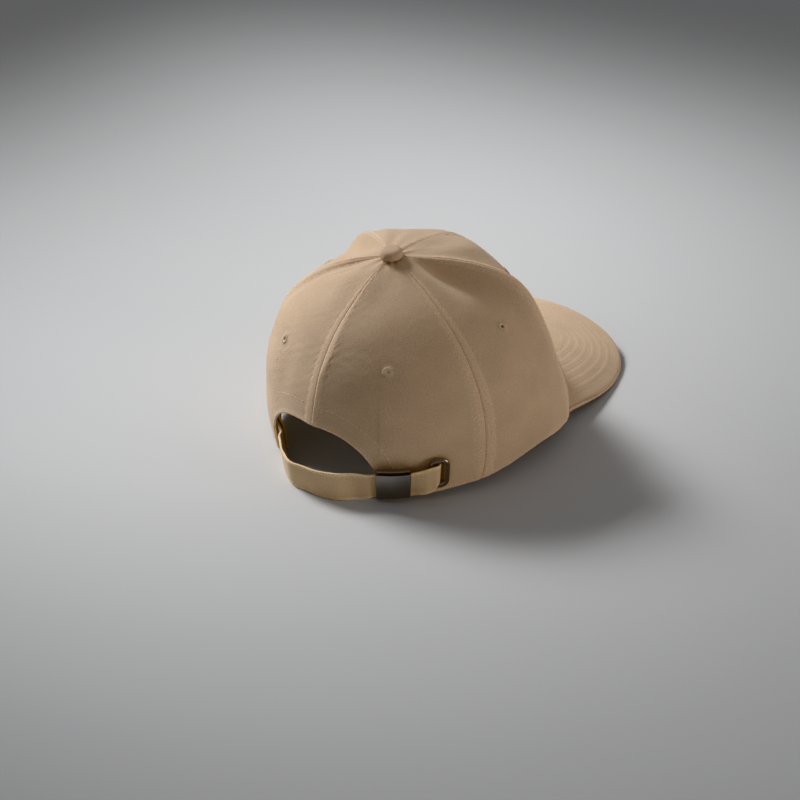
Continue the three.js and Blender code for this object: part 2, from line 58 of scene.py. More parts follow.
def linear(hex_colour):
    """A six-figure sRGB hex colour as the linear colour that Blender's sockets take."""
    channels = [int(hex_colour[i:i + 2], 16) / 255 for i in (0, 2, 4)]
    lit = [c / 12.92 if c <= 0.04045 else ((c + 0.055) / 1.055) ** 2.4 for c in channels]
    return (*lit, 1.0)


def plug(tree, made, inputs):
    """Fills a node's inputs. Each one is a value, or another node's output to link."""
    for name, value in inputs.items():
        if isinstance(value, bpy.types.NodeSocket):
            tree.links.new(value, made.inputs[name])
        else:
            made.inputs[name].default_value = value


def node(tree, kind, output, inputs=None, **settings):
    """Adds a node with its settings and inputs, and gives one of its outputs."""
    made = tree.nodes.new("ShaderNode" + kind)
    for name, value in settings.items():
        setattr(made, name, value)
    plug(tree, made, inputs or {})
    return made.outputs[output]


def new_material(name):
    """A new material, its node tree and its shader."""
    made = bpy.data.materials.new(name)
    made.use_nodes = True
    return made, made.node_tree, made.node_tree.nodes["Principled BSDF"]


camera = bpy.data.objects.new("camera", bpy.data.cameras.new("camera"))
bpy.context.scene.collection.objects.link(camera)
bpy.context.scene.camera = camera
camera.location = Vector(CAMERA_PLACE) * MM
camera.rotation_euler = (Vector(CAMERA_TARGET) - Vector(CAMERA_PLACE)).to_track_quat("-Z", "Y").to_euler()
camera.data.lens = CAMERA_LENS
camera.data.sensor_width = SENSOR_WIDTH
camera.data.clip_start, camera.data.clip_end = CAMERA_CLIP_M

LAMPS = [
    # name, direction that the light comes from, aim in m, distance in m, width and height in m,
    # spread in degrees, power in W, colour
    ("key_softbox", (0.75, -0.02, 0.65), (0.10, -0.06, 0), 1.2, (0.8, 0.46), 30, 1.52, "ffffff"),
    ("side_reflector", (-0.82, -0.22, 0.12), (-0.02, -0.03, 0.03), 2.2, (0.9, 0.5), 40, 0.8, "fff2e6"),
]
for lamp_name, lamp_from, aim, distance, size, spread, power, lamp_colour in LAMPS:
    lamp = bpy.data.objects.new(lamp_name, bpy.data.lights.new(lamp_name, "AREA"))
    bpy.context.scene.collection.objects.link(lamp)
    lamp.data.energy = power
    lamp.data.shape = "RECTANGLE"
    lamp.data.size, lamp.data.size_y = size
    lamp.data.spread = math.radians(spread)
    lamp.data.color = linear(lamp_colour)[:3]
    direction = Vector(lamp_from).normalized()
    lamp.location = Vector(aim) + direction * distance
    lamp.rotation_euler = (-direction).to_track_quat("-Z", "Y").to_euler()

world = bpy.data.worlds.new("studio")
world.use_nodes = True
tree = world.node_tree
plug(tree, tree.nodes["Background"], {"Color": linear("e5e5e6"), "Strength": 0.31})
bpy.context.scene.world = world
bpy.context.scene.view_settings.view_transform = "Khronos PBR Neutral"

FLOOR_CORNERS_M = [(-3, -3, 0), (3, -3, 0), (3, 3, 0), (-3, 3, 0)]
floor_mesh = bpy.data.meshes.new("floor")
floor_mesh.from_pydata(FLOOR_CORNERS_M, [], [range(4)])
floor = bpy.data.objects.new("floor", floor_mesh)
bpy.context.scene.collection.objects.link(floor)
# Backdrop paper is matt, and its tone drifts a little over a third of a metre.
paper, tree, shader = new_material("pale_backdrop_paper")
drift = node(tree, "TexNoise", "Fac", {"Scale": 3.0, "Detail": 2.0})
shade = node(tree, "MixRGB", "Color", {"Fac": drift, "Color1": linear("c5c6c7"), "Color2": linear("c8c9ca")})
plug(tree, shader, {"Base Color": shade, "Roughness": 0.85})
floor_mesh.materials.append(paper)

# Crown panels. Six panels of khaki cotton twill, each with a vent, are cut on the curve and sewn edge to
# edge under the button. The seams are pressed open and topstitched. The two back panels are cut to an arch,
# and the right one has a slot for the strap's end.

CROWN_CENTRE_Y = 14.0
HEM_HALF_WIDTH, HEM_BACK, HEM_FRONT = 86.9, 100.6, 82.4
PEAK_Y, PEAK_Z = 32.2, 118.0
SECTIONS = {
    # one value for each section of the crown, from the back to the front
    "azimuth": [0, 30, 62, 87, 112, 146, 180],
    "hem": [0.6, 1.2, 7.0, 12.7, 10.5, 18.5, 22.8],
    "flat": [0.90, 0.82, 0.62, 0.52, 0.56, 0.73, 0.84],
    "swell": [8.0, 12.5, 18.5, 14.5, -1.5, -31.5, -46.0],
    "steep": [0.51, 0.51, 0.51, 0.53, 0.56, 0.60, 0.62],
    "lift": [-20.5, -18.0, -11.5, -5.5, -0.5, 2.5, 2.5],
}
DENTS = [
    # azimuth, share down, reach round in degrees, reach down, height in mm
    (112, 0.41, 9, 0.22, 11),
    (94, 0.22, 13, 0.13, -4),
    (119, 0.94, 12, 0.13, 1.6),
    (-108, 0.43, 7, 0.20, 5.2),
    (-122, 0.36, 13, 0.22, 3.5),
    (-88, 0.28, 11, 0.16, -3.5),
    (-52, 0.17, 9, 0.12, -2.2),
    (-62, 0.18, 6, 0.12, 1.0),
    (-50, 0.44, 26, 0.17, 2.6),
    (-50, 0.84, 26, 0.17, -1.6),
]
DENTS_FADE_ABOVE = 0.2
PANEL_WALL, PEAK_HOLE, SEAM_LENGTH, CROWN_RADIUS = 1.4, 2.4, 165.0, 82.0
# how far a degree goes at the crown's usual radius and at the back of the hem
MM_A_DEGREE, HEM_MM_A_DEGREE = math.pi / 180 * CROWN_RADIUS, 1.75
SEAMS = (0, 62, 112, 180, -112, -62)
ARCH_HEIGHT, ARCH_HALF_ANGLE = 40.0, {"right": 26.0, "left": 28.0}
ARCH_ROUNDNESS = {"right": 2.4, "left": 2.6}


def turned(azimuth):
    """An azimuth as its angle from the back, from -180 to 180 degrees."""
    return (np.asarray(azimuth, float) + 180) % 360 - 180


def section(name, azimuth):
    """A smooth curve through a row of SECTIONS, mirrored past the back and the front."""
    at, value = np.array(SECTIONS["azimuth"], float), np.array(SECTIONS[name], float)
    turn = np.abs(turned(azimuth))
    wide = np.concatenate([[-at[1]], at, [360 - at[-2]]])
    tall = np.concatenate([[value[1]], value, [value[-2]]])
    slope = (tall[2:] - tall[:-2]) / (wide[2:] - wide[:-2])
    i = np.clip(np.searchsorted(at, turn, side="right") - 1, 0, len(at) - 2)
    gap = at[i + 1] - at[i]
    u = (turn - at[i]) / gap
    return ((2 * u**3 - 3 * u**2 + 1) * value[i] + (u**3 - 2 * u**2 + u) * gap * slope[i]
            + (3 * u**2 - 2 * u**3) * value[i + 1] + (u**3 - u**2) * gap * slope[i + 1])


def eased(value, start, end):
    """Rises smoothly from 0 to 1 while a value goes from one number to another."""
    share = np.clip((value - start) / (end - start), 0, 1)
    return share * share * (3 - 2 * share)


def hem_plan(azimuth):
    """The hem's place from above, and its distance from the peak."""
    a = np.radians(azimuth)
    x, y = -HEM_HALF_WIDTH * np.sin(a), np.where(np.cos(a) > 0, HEM_BACK, HEM_FRONT) * np.cos(a)
    return x, y, np.hypot(x, y - PEAK_Y)


def smooth_crown(azimuth, down):
    """The crown before its dents: a cubic curve from the peak to the hem at each azimuth.

    SECTIONS places its two inner points: flat and lift the upper one, swell and steep the lower one.
    """
    hem_x, hem_y, reach = hem_plan(azimuth)
    hem_z, up = section("hem", azimuth), 1 - down
    out = (3 * up**2 * down * section("flat", azimuth) * reach
           + 3 * up * down**2 * (reach + section("swell", azimuth)) + down**3 * reach)
    z = (up**3 * PEAK_Z + 3 * up**2 * down * (PEAK_Z + section("lift", azimuth))
         + 3 * up * down**2 * (hem_z + section("steep", azimuth) * (PEAK_Z - hem_z)) + down**3 * hem_z)
    return np.stack([hem_x / reach * out, PEAK_Y + CROWN_CENTRE_Y + (hem_y - PEAK_Y) / reach * out, z], -1)


def unit(vectors):
    """Vectors at a length of 1."""
    return vectors / np.maximum(np.linalg.norm(vectors, axis=-1, keepdims=True), 1e-12)


ROUND_NUDGE, DOWN_NUDGE = 0.05, 0.001


def normal_of(surface, azimuth, down):
    """The direction out of a surface that is given as a function, from two short steps along it."""
    round_it = surface(azimuth + ROUND_NUDGE, down) - surface(azimuth - ROUND_NUDGE, down)
    down_it = surface(azimuth, down + DOWN_NUDGE) - surface(azimuth, down - DOWN_NUDGE)
    return unit(np.cross(down_it, round_it))


def paired(azimuth, down):
    """Two arrays, or numbers, in one shape."""
    return np.broadcast_arrays(np.asarray(azimuth, float), np.asarray(down, float))


def with_bumps(height, table, azimuth, down):
    """Adds a table's bumps and dents to heights."""
    for place, share, reach_round, reach_down, bump in table:
        u, v = turned(azimuth - place) / reach_round, (down - share) / reach_down
        height = height + bump * np.exp(-(u * u + v * v))
    return height


def crown(azimuth, down):
    """The crown's outside, with its dents, for azimuths and shares down."""
    azimuth, down = paired(azimuth, down)
    height = with_bumps(np.zeros(azimuth.shape), DENTS, azimuth, down) * eased(down, 0, DENTS_FADE_ABOVE)
    return smooth_crown(azimuth, down) + height[..., None] * normal_of(smooth_crown, azimuth, down)


SEARCH_FROM, SEARCH_TO, SEARCH_STEPS = 0.5, 1.25, 26


def down_at_height(azimuth, z):
    """How far down the crown a height lies, on its lower half or just below its hem."""
    azimuth, z = paired(azimuth, z)
    high, low = np.full(z.shape, SEARCH_FROM), np.full(z.shape, SEARCH_TO)
    for _ in range(SEARCH_STEPS):
        middle = (high + low) / 2
        above = crown(azimuth, middle)[..., 2] > z
        high, low = np.where(above, middle, high), np.where(above, low, middle)
    return (high + low) / 2


def arch_edge(azimuth, outset=0.0):
    """The share down of the arch's edge, or of a line round it at a distance. It is 1 beyond the arch."""
    half_angle, roundness = (np.where(turned(azimuth) < 0, sides["left"], sides["right"])
                             for sides in (ARCH_HALF_ANGLE, ARCH_ROUNDNESS))
    across = np.minimum(np.abs(turned(azimuth)) / (half_angle + outset / HEM_MM_A_DEGREE), 1)
    z = (ARCH_HEIGHT + outset) * (1 - across**roundness) ** (1 / roundness)
    return np.where(across >= 1, 1.0, np.minimum(1.0, down_at_height(azimuth, z)))


def top_edge(azimuth):
    """The share down of the small hole at the peak, where the button's shank goes through."""
    return PEAK_HOLE / (3 * section("flat", azimuth) * hem_plan(azimuth)[2])


def finished(name, points, faces, material, weave=None, paleness=None):
    """Makes an object from points in mm. Attributes keep how the threads run and how much paler the cloth is
    drawn: pale strips, and highlights painted along seams and edges.
    """
    mesh = bpy.data.meshes.new(name)
    mesh.from_pydata((np.asarray(points) * MM).tolist(), [], [list(map(int, f)) for f in faces])
    if weave is not None:
        threads = mesh.attributes.new("weave_mm", "FLOAT_VECTOR", "POINT")
        threads.data.foreach_set("vector", np.asarray(weave, np.float32).ravel())
        paled = mesh.attributes.new("paleness", "FLOAT", "POINT")
        amount = np.zeros(len(points)) if paleness is None else paleness
        paled.data.foreach_set("value", np.asarray(amount, np.float32).ravel())
    tidy = bmesh.new()
    tidy.from_mesh(mesh)
    bmesh.ops.delete(tidy, geom=[v for v in tidy.verts if not v.link_faces], context="VERTS")
    bmesh.ops.recalc_face_normals(tidy, faces=tidy.faces)
    tidy.to_mesh(mesh)
    tidy.free()
    mesh.shade_smooth()
    made = bpy.data.objects.new(name, mesh)
    bpy.context.scene.collection.objects.link(made)
    made.data.materials.append(material)
    return made


AROUND_A_POINT = ((1, 0), (1, 1), (0, 1), (-1, 1), (-1, 0), (-1, -1), (0, -1), (1, -1))


def strip(one, two):
    """The faces between two loops of points, or between two rows of loops."""
    faces = np.stack([one, np.roll(one, -1, -1), np.roll(two, -1, -1), two], -1)
    return faces.reshape(-1, 4).tolist()


def walled(name, outer, inner, material, weave, paleness=None, bulge=0.0, paleness_inside=1, hole=None):
    """Makes a wall between two grids of points, with a rounded rim that takes the weave and paleness beside
    it.

    A hole is given as the grid place of its middle point. The eight points round that one are its edge.
    """
    columns, rows = outer.shape[:2]
    total = columns * rows
    index = np.arange(total).reshape(columns, rows)
    cells = np.stack([index[:-1, :-1], index[1:, :-1], index[1:, 1:], index[:-1, 1:]], -1).reshape(-1, 4)
    if hole:
        i, j = hole
        cells = cells[~(cells == index[i, j]).any(1)]
    faces = cells.tolist() + (cells[:, ::-1] + total).tolist()
    if hole:
        edge = np.array([index[i + u, j + v] for u, v in AROUND_A_POINT])
        faces += strip(edge, edge + total)
    rim = np.concatenate([index[:, 0], index[-1, 1:], index[-2::-1, -1], index[0, -2:0:-1]])
    inward = np.concatenate([index[:, 1], index[-2, 1:], index[-2::-1, -2], index[1, -2:0:-1]])
    outer, inner, weave = (grid.reshape(-1, 3) for grid in (outer, inner, weave))
    rim_points = (outer[rim] + inner[rim]) / 2 + bulge * unit(outer[rim] - outer[inward])
    middle = 2 * total + np.arange(len(rim))
    for one, two in ((rim, middle), (middle, rim + total)):
        faces += np.stack([one, two, np.roll(two, -1), np.roll(one, -1)], -1).tolist()
    if paleness is not None:
        paleness = np.concatenate([paleness.ravel(), paleness_inside * paleness.ravel(), paleness.ravel()[rim]])
    points = np.concatenate([outer, inner, rim_points])
    return finished(name, points, faces, material, np.concatenate([weave, weave, weave[rim]]), paleness)


# Across a seam: distance from it and height of the cloth, in mm, and how much paler the cloth is drawn: a
# painted highlight along the seam's lit edge, and a paler strip over the allowance. The cloth rolls down
# into the seam, stands proud over its turned-in edge and dips at the topstitching.
SEAM_STEPS = [0.03, 0.25, 0.5, 0.85, 1.3, 2.0, 3.0, 4.0, 4.6, 5.1, 5.6, 6.3, 7.4, 9.0]
SEAM_HEIGHTS = [-0.16, -0.04, 0.1, 0.18, 0.22, 0.26, 0.28, 0.24, 0.12, 0.03, 0.02, 0.04, 0.03, 0.0]
SEAM_HIGHLIGHT_AND_PALE_STRIP = [1.0, 1.7, 1.9, 0.8, 0.45, 0.42, 0.45, 0.45, 0.4, 0.35, 0.2, 0.08, 0.0, 0.0]
# how bright a highlight is painted along each seam's very edge: the one on the near side, in shade,
# stays a thin dark line
SEAM_EDGE_HIGHLIGHT = {0: 1.0, 62: 0.25, 112: 1.0, 180: 1.0, -180: 1.0, -112: 1.0, -62: 0.8}
SEAM_LINE, TOPSTITCH_FROM_SEAM = 1.0, 5.1
# the same across the panels' lower edge, with its distance from the edge; its paleness is a highlight
# painted along the edge
EDGE_STEPS = [0.0, 0.35, 0.8, 1.4, 2.2, 3.2, 4.4, 6.0]
EDGE_HEIGHTS = [-0.1, 0.16, 0.24, 0.2, 0.1, 0.04, 0.02, 0.0]
EDGE_PAINTED_HIGHLIGHT = [1.8, 1.8, 0.9, 0.4, 0.25, 0.2, 0.1, 0.0]
# the puckers beside each row of topstitching, in mm, and how far and over what length their rows sway
PUCKER_HEIGHT, PUCKER_PITCH, PUCKER_FROM_SEAM, PUCKER_REACH = 0.13, 7.5, 6.5, 3.2
PUCKER_SWAY, PUCKER_SWAY_LENGTH = 5, 23
SEAM_CRESTS = [
    # azimuth of the seam, height in mm, and how far the crest's upper part lies to one side, in degrees
    (0, 1.8, 3.4), (112, 1.2, 0), (-112, 0.3, 0),
]
CREST_REACH, CREST_STARTS, CREST_RISES_OVER = 8.5, 0.08, 0.3
# soft waves of random length round the crown and down it, and how much lower the short ones are
SLACK_SEED, SLACK_WAVES, SLACK_SIZE = 5, 14, 0.55
WAVES_ROUND, WAVES_DOWN, LOWER_ROUND, LOWER_DOWN = (2, 13), (5, 30), 0.03, 0.08
FOLDS = [
    # azimuth, share down, reach round in degrees, reach down, height in mm
    (-58, 0.24, 4.5, 0.18, -1.3),
    (-66, 0.24, 4.5, 0.16, 0.5),
    (-55, 0.38, 3.5, 0.15, -1.3),
    (-61, 0.38, 3.5, 0.18, 1.2),
    (-45, 0.15, 5.0, 0.07, -0.9),
    (-50, 0.15, 4.0, 0.07, 0.5),
    (-20, 0.62, 5.0, 0.12, -0.7),
    (54, 0.80, 6.0, 0.14, -0.6),
    (17, 0.20, 9.0, 0.12, -0.6),
]


def slack(azimuth, down):
    """How far the cloth stands off the plain crown, in mm: soft hollows, crests along seams, and folds."""
    azimuth, down = paired(azimuth, down)
    a, total = np.radians(azimuth), np.zeros(azimuth.shape)
    rng = np.random.default_rng(SLACK_SEED)
    for _ in range(SLACK_WAVES):
        around, along = rng.integers(*WAVES_ROUND), rng.uniform(*WAVES_DOWN)
        turn_phase, along_phase = rng.uniform(0, 2 * math.pi, 2)
        size = SLACK_SIZE / (1 + LOWER_ROUND * around * around + LOWER_DOWN * along)
        total = total + size * np.sin(around * a + turn_phase) * np.sin(along * down + along_phase)
    below_peak = np.clip((down - CREST_STARTS) / CREST_RISES_OVER, 0, 1)
    for seam, height, lean in SEAM_CRESTS:
        line = seam + lean * (1 - eased(down, start=0.42, end=0.6))
        total = total + height * np.exp(-np.abs(turned(azimuth - line)) / CREST_REACH) * below_peak
    return with_bumps(total, FOLDS, azimuth, down)


VENT_TIGHTNESS = 2.0
PANEL_COLUMNS, PANEL_ROWS, LINE_SAMPLES, SPACING_SAMPLES = 50, 96, 60, 400
# columns before and past each leg of the arch, in degrees, and how near to them no other column lies
LEG_ZONE, LEG_STEP, LEG_PAST, LEG_CLEAR = 6.5, 0.5, np.array([0, 0.4, 1.0]), 0.45
# within this many mm of the peak seams get lower, down to this share, and the weave's radius stays above
SLIMMER_WITHIN, SLIMMEST, WEAVE_RADIUS = 26, 0.35, 5


def spaced(total, count, vent, reach):
    """Places from 0 to a total, closer together near the vent."""
    fine = np.linspace(0, total, SPACING_SAMPLES)
    density = 1 + VENT_TIGHTNESS * np.exp(-((fine - vent) / reach) ** 2)
    summed = np.concatenate([[0], np.cumsum((density[1:] + density[:-1]) / 2)])
    return np.interp(np.linspace(0, summed[-1], count), summed, fine)


def travelled(path, power=1):
    """How far each point lies along a path, or along each of many paths."""
    steps = np.linalg.norm(np.diff(path, axis=-2), axis=-1) ** power
    return np.concatenate([0 * steps[..., :1], np.cumsum(steps, -1)], -1)


def mirrored(values, middle=()):
    """A row of values, a middle, and the row again in reverse."""
    return np.concatenate([values, middle, values[::-1]])


def seam_paleness(seam):
    """How much paler a seam's side is drawn for each of SEAM_STEPS: a painted highlight at the edge, a pale
    strip beyond.
    """
    return np.array(SEAM_HIGHLIGHT_AND_PALE_STRIP) * np.where(np.array(SEAM_STEPS) < SEAM_LINE, SEAM_EDGE_HIGHLIGHT[seam], 1)


def panel_grid(from_azimuth, to_azimuth, vent_azimuth, vent_down):
    """Azimuths, shares down, heights, weave and paleness of a panel, closer at its seams, edge and vent."""
    width = abs(turned(to_azimuth - from_azimuth))
    side = np.array(SEAM_STEPS) / MM_A_DEGREE
    vent_across = abs(turned(vent_azimuth - from_azimuth)) - side[-1]
    between = side[-1] + spaced(width - 2 * side[-1], PANEL_COLUMNS + 2, vent_across, reach=5.0)[1:-1]
    if 0 in (from_azimuth, to_azimuth):
        leg = ARCH_HALF_ANGLE["right" if from_azimuth == 0 else "left"]
        zone = np.concatenate([np.arange(leg - LEG_ZONE, leg, LEG_STEP), leg + LEG_PAST])
        zone = zone if from_azimuth == 0 else width - zone
        near = np.abs(between[:, None] - zone).min(1) < LEG_CLEAR
        between = np.sort(np.concatenate([between[~near], zone]))
    across = np.concatenate([side, between, width - side[::-1]])
    azimuth = from_azimuth + across
    top, low = top_edge(azimuth), arch_edge(azimuth)
    samples = np.linspace(0, 1, LINE_SAMPLES)
    length = travelled(crown(azimuth[:, None], top[:, None] + (low - top)[:, None] * samples))
    edge = np.array(EDGE_STEPS[::-1])
    down = []
    for along, start, end in zip(length, top, low):
        vent_mm = np.interp((vent_down - start) / (end - start), samples, along)
        body = spaced(along[-1] - edge[0], PANEL_ROWS + 1, vent_mm, reach=6.5)[:-1]
        share = np.interp(np.concatenate([body, along[-1] - edge]), along, samples)
        down.append(start + (end - start) * share)
    down = np.array(down)
    edge_height, edge_highlight = (
        np.concatenate([np.zeros(PANEL_ROWS), values[::-1]]) for values in (EDGE_HEIGHTS, EDGE_PAINTED_HIGHLIGHT))
    plain = np.zeros(len(between))
    # painted highlights along the seams and the lower edge, and pale strips over the seams' allowances
    seam_paleness_row = np.concatenate([seam_paleness(from_azimuth), plain, seam_paleness(to_azimuth)[::-1]])
    paleness = np.maximum(seam_paleness_row[:, None], edge_highlight)
    azimuth_grid = np.broadcast_to(azimuth[:, None], down.shape)
    from_peak = crown(azimuth_grid, down) - [0, PEAK_Y + CROWN_CENTRE_Y, 0]
    radius = np.hypot(from_peak[..., 0], from_peak[..., 1])
    slim = np.clip(radius / SLIMMER_WITHIN, 0, 1)
    height = mirrored(SEAM_HEIGHTS, plain)[:, None] * (SLIMMEST + (1 - SLIMMEST) * slim) + edge_height
    beside = mirrored(SEAM_STEPS, plain + SEAM_STEPS[-1])[:, None]
    mm_down = down * SEAM_LENGTH
    sway = PUCKER_SWAY * np.sin(azimuth[:, None] + mm_down / PUCKER_SWAY_LENGTH)
    pucker = np.exp(-((beside - PUCKER_FROM_SEAM) / PUCKER_REACH) ** 2)
    pucker = pucker * np.sin(mm_down * 2 * math.pi / PUCKER_PITCH + sway)
    height = height + PUCKER_HEIGHT * pucker * slim
    level = (across[:, None] - width / 2) * math.pi / 180 * np.maximum(radius, WEAVE_RADIUS)
    return azimuth_grid, down, height, np.stack([level, mm_down, 0 * down], -1), paleness


# Yarn mottling and faded clouds are given in spots a mm. Real twill ribs are 0.5 mm apart. They are drawn at
# 1 mm, or the render wouldn't show them. A wave texture's scale is 0.31 for bands 1 mm apart.
YARN_SPOTS_A_MM, FADED_CLOUDS_A_MM = 1.1, 0.035
WAVE_SCALE, RIB_PITCH, RIB_DEPTH = 0.31, 1.0, 0.12
SEED_SHIFT = np.array([1, 1.7, 1])
# how much paler the cloth is drawn at a paleness of 1: pale strips, and highlights painted along seams and
# edges
PALENESS_GAIN = 1.35


def cotton_twill(name, colour, pale_colour, seed=0.0):
    """Washed cotton twill: matt, fine diagonal ribs, mottled yarn, a faint nap, and paler lines and strips
    that the paleness attribute gives, some of them painted highlights along seams and edges.
    """
    made, tree, shader = new_material(name)
    threads = node(tree, "Attribute", "Vector", attribute_name="weave_mm")
    paleness = node(tree, "Attribute", "Fac", attribute_name="paleness")
    place = node(tree, "VectorMath", "Vector", {0: threads, 1: SEED_SHIFT * seed}, operation="ADD")
    ribs = node(tree, "TexWave", "Fac", {
        "Vector": place, "Scale": WAVE_SCALE / RIB_PITCH, "Distortion": 3.0, "Detail": 2.0,
        "Detail Scale": 1.2}, wave_type="BANDS", bands_direction="DIAGONAL")
    yarn = node(tree, "TexNoise", "Fac", {
        "Vector": place, "Scale": YARN_SPOTS_A_MM, "Detail": 2.0, "Roughness": 0.6})
    clouds = node(tree, "TexNoise", "Fac", {
        "Vector": place, "Scale": FADED_CLOUDS_A_MM, "Detail": 3.0, "Roughness": 0.6})
    mottle = node(tree, "MapRange", "Result", {"Value": yarn, "From Min": 0.3, "From Max": 0.7})
    base = node(tree, "MixRGB", "Color", {
        "Fac": mottle, "Color1": linear(colour), "Color2": linear(pale_colour)})
    faded = node(tree, "MapRange", "Result", {
        "Value": clouds, "From Min": 0.35, "From Max": 0.65, "To Min": 0.95, "To Max": 1.04})
    rib_shade = node(tree, "MapRange", "Result", {"Value": ribs, "To Min": 0.99, "To Max": 1.008})
    shade = node(tree, "Math", "Value", {0: faded, 1: rib_shade}, operation="MULTIPLY")
    patchy = node(tree, "MapRange", "Result", {
        "Value": yarn, "From Min": 0.35, "From Max": 0.65, "To Min": 0.3})
    # paler where the paleness attribute says, in yarn-sized patches: painted highlights along seams and
    # edges, and pale strips
    paled = node(tree, "Math", "Value", {0: paleness, 1: patchy}, operation="MULTIPLY")
    brightened = node(tree, "MapRange", "Result", {"Value": paled, "To Min": 1.0, "To Max": PALENESS_GAIN})
    lit = node(tree, "Math", "Value", {0: shade, 1: brightened}, operation="MULTIPLY")
    cloth = node(tree, "VectorMath", "Vector", {0: base, "Scale": lit}, operation="SCALE")
    relief = node(tree, "Math", "Value", {0: ribs, 1: 0.3, 2: yarn}, operation="MULTIPLY_ADD")
    bump = node(tree, "Bump", "Normal", {"Height": relief, "Strength": 0.55, "Distance": RIB_DEPTH * MM})
    plug(tree, shader, {
        "Base Color": cloth, "Normal": bump, "Roughness": 0.92, "IOR": 1.45, "Specular IOR Level": 0.25,
        "Sheen Weight": 0.12, "Sheen Roughness": 0.5})
    return made


GLOWING_TWILL_REVERSE = cotton_twill("khaki_twill_reverse_painted_glow", "cdc9c3", "d6d2cc", seed=17.0)
# Painted glow: the reverse face gives off a little light of its own. It stands in for light soaking through
# the thin crown, and lifts the dark inside.
tree = GLOWING_TWILL_REVERSE.node_tree
shader = tree.nodes["Principled BSDF"]
plug(tree, shader, {"Emission Color": linear("d6d2cc"), "Emission Strength": 0.06})
KHAKI_TWILL = cotton_twill("khaki_cotton_twill", "c4ab90", "d3baa0")
PANELS = {
    # azimuths of its seams, azimuth and share down of its vent, and how wide the stitches leave that open
    "back_right": (0, 62, 28.8, 0.485, 0.1), "side_right": (62, 112, 87, 0.485, 0.75),
    "front_right": (112, 180, 146, 0.5, 0.8), "front_left": (-180, -112, -146, 0.5, 0.8),
    "side_left": (-112, -62, -87, 0.49, 0.8), "back_left": (-62, 0, -29, 0.52, 0.85),
}
VENT_RADIUS, VENT_LIP, VENT_PULL = 1.25, 0.1, 5
EYELET_RINGS = [
    # height, radius and width in mm: a raised ring round each vent, with a soft dip outside it
    (0.32, 2.1, 1.2),
    (-0.14, 5.2, 1.7),
]
# the inner face follows the outer one's relief up to this height
INSIDE_FOLLOWS = 0.3
SLOT_AZIMUTH, SLOT_HEIGHT, SLOT_HALF_DEPTH = 46.0, 19.5, 5


def crown_axes(azimuth, down):
    """A point of the crown with its axes out of the cloth, level round it and up it."""
    origin, out = crown(azimuth, down), normal_of(crown, azimuth, down)
    level = unit(np.cross([0.0, 0.0, 1.0], out))
    return origin, out, level, unit(np.cross(out, level))


SLOT_AXES = crown_axes(SLOT_AZIMUTH, float(down_at_height(SLOT_AZIMUTH, SLOT_HEIGHT)))


def swept(name, sections, material, closed=False):
    """A solid swept through sections that have equally many points."""
    sections = np.asarray(sections)
    count, sides = sections.shape[:2]
    index = np.arange(count * sides).reshape(count, sides)
    after = np.roll(index, -1, axis=0)
    faces = strip(index, after) if closed else [*strip(index[:-1], after[:-1]), index[0], index[-1, ::-1]]
    return finished(name, sections.reshape(-1, 3), faces, material)


def cut_with(piece, cutter):
    """Cuts a closed shape out of a piece."""
    cutting = piece.modifiers.new("cut", "BOOLEAN")
    cutting.object, cutting.operation, cutting.solver = cutter, "DIFFERENCE", "EXACT"
    depsgraph = bpy.context.evaluated_depsgraph_get()
    depsgraph.update()
    cut_mesh = bpy.data.meshes.new_from_object(piece.evaluated_get(depsgraph))
    piece.modifiers.clear()
    piece.data = cut_mesh
    piece.data.shade_smooth()
    bpy.data.objects.remove(cutter)


def oblong(half_width, half_height, corner, steps):
    """An outline with straight sides and round corners, and the direction out of it at each point."""
    outline, outward = [], []
    for quarter, (sx, sy) in enumerate(((1, 1), (-1, 1), (-1, -1), (1, -1))):
        for a in np.radians(np.linspace(90 * quarter, 90 * quarter + 90, steps + 1)):
            outward.append((math.cos(a), math.sin(a)))
            outline.append((sx * (half_width - corner) + corner * math.cos(a),
                            sy * (half_height - corner) + corner * math.sin(a)))
    return np.array(outline), np.array(outward)


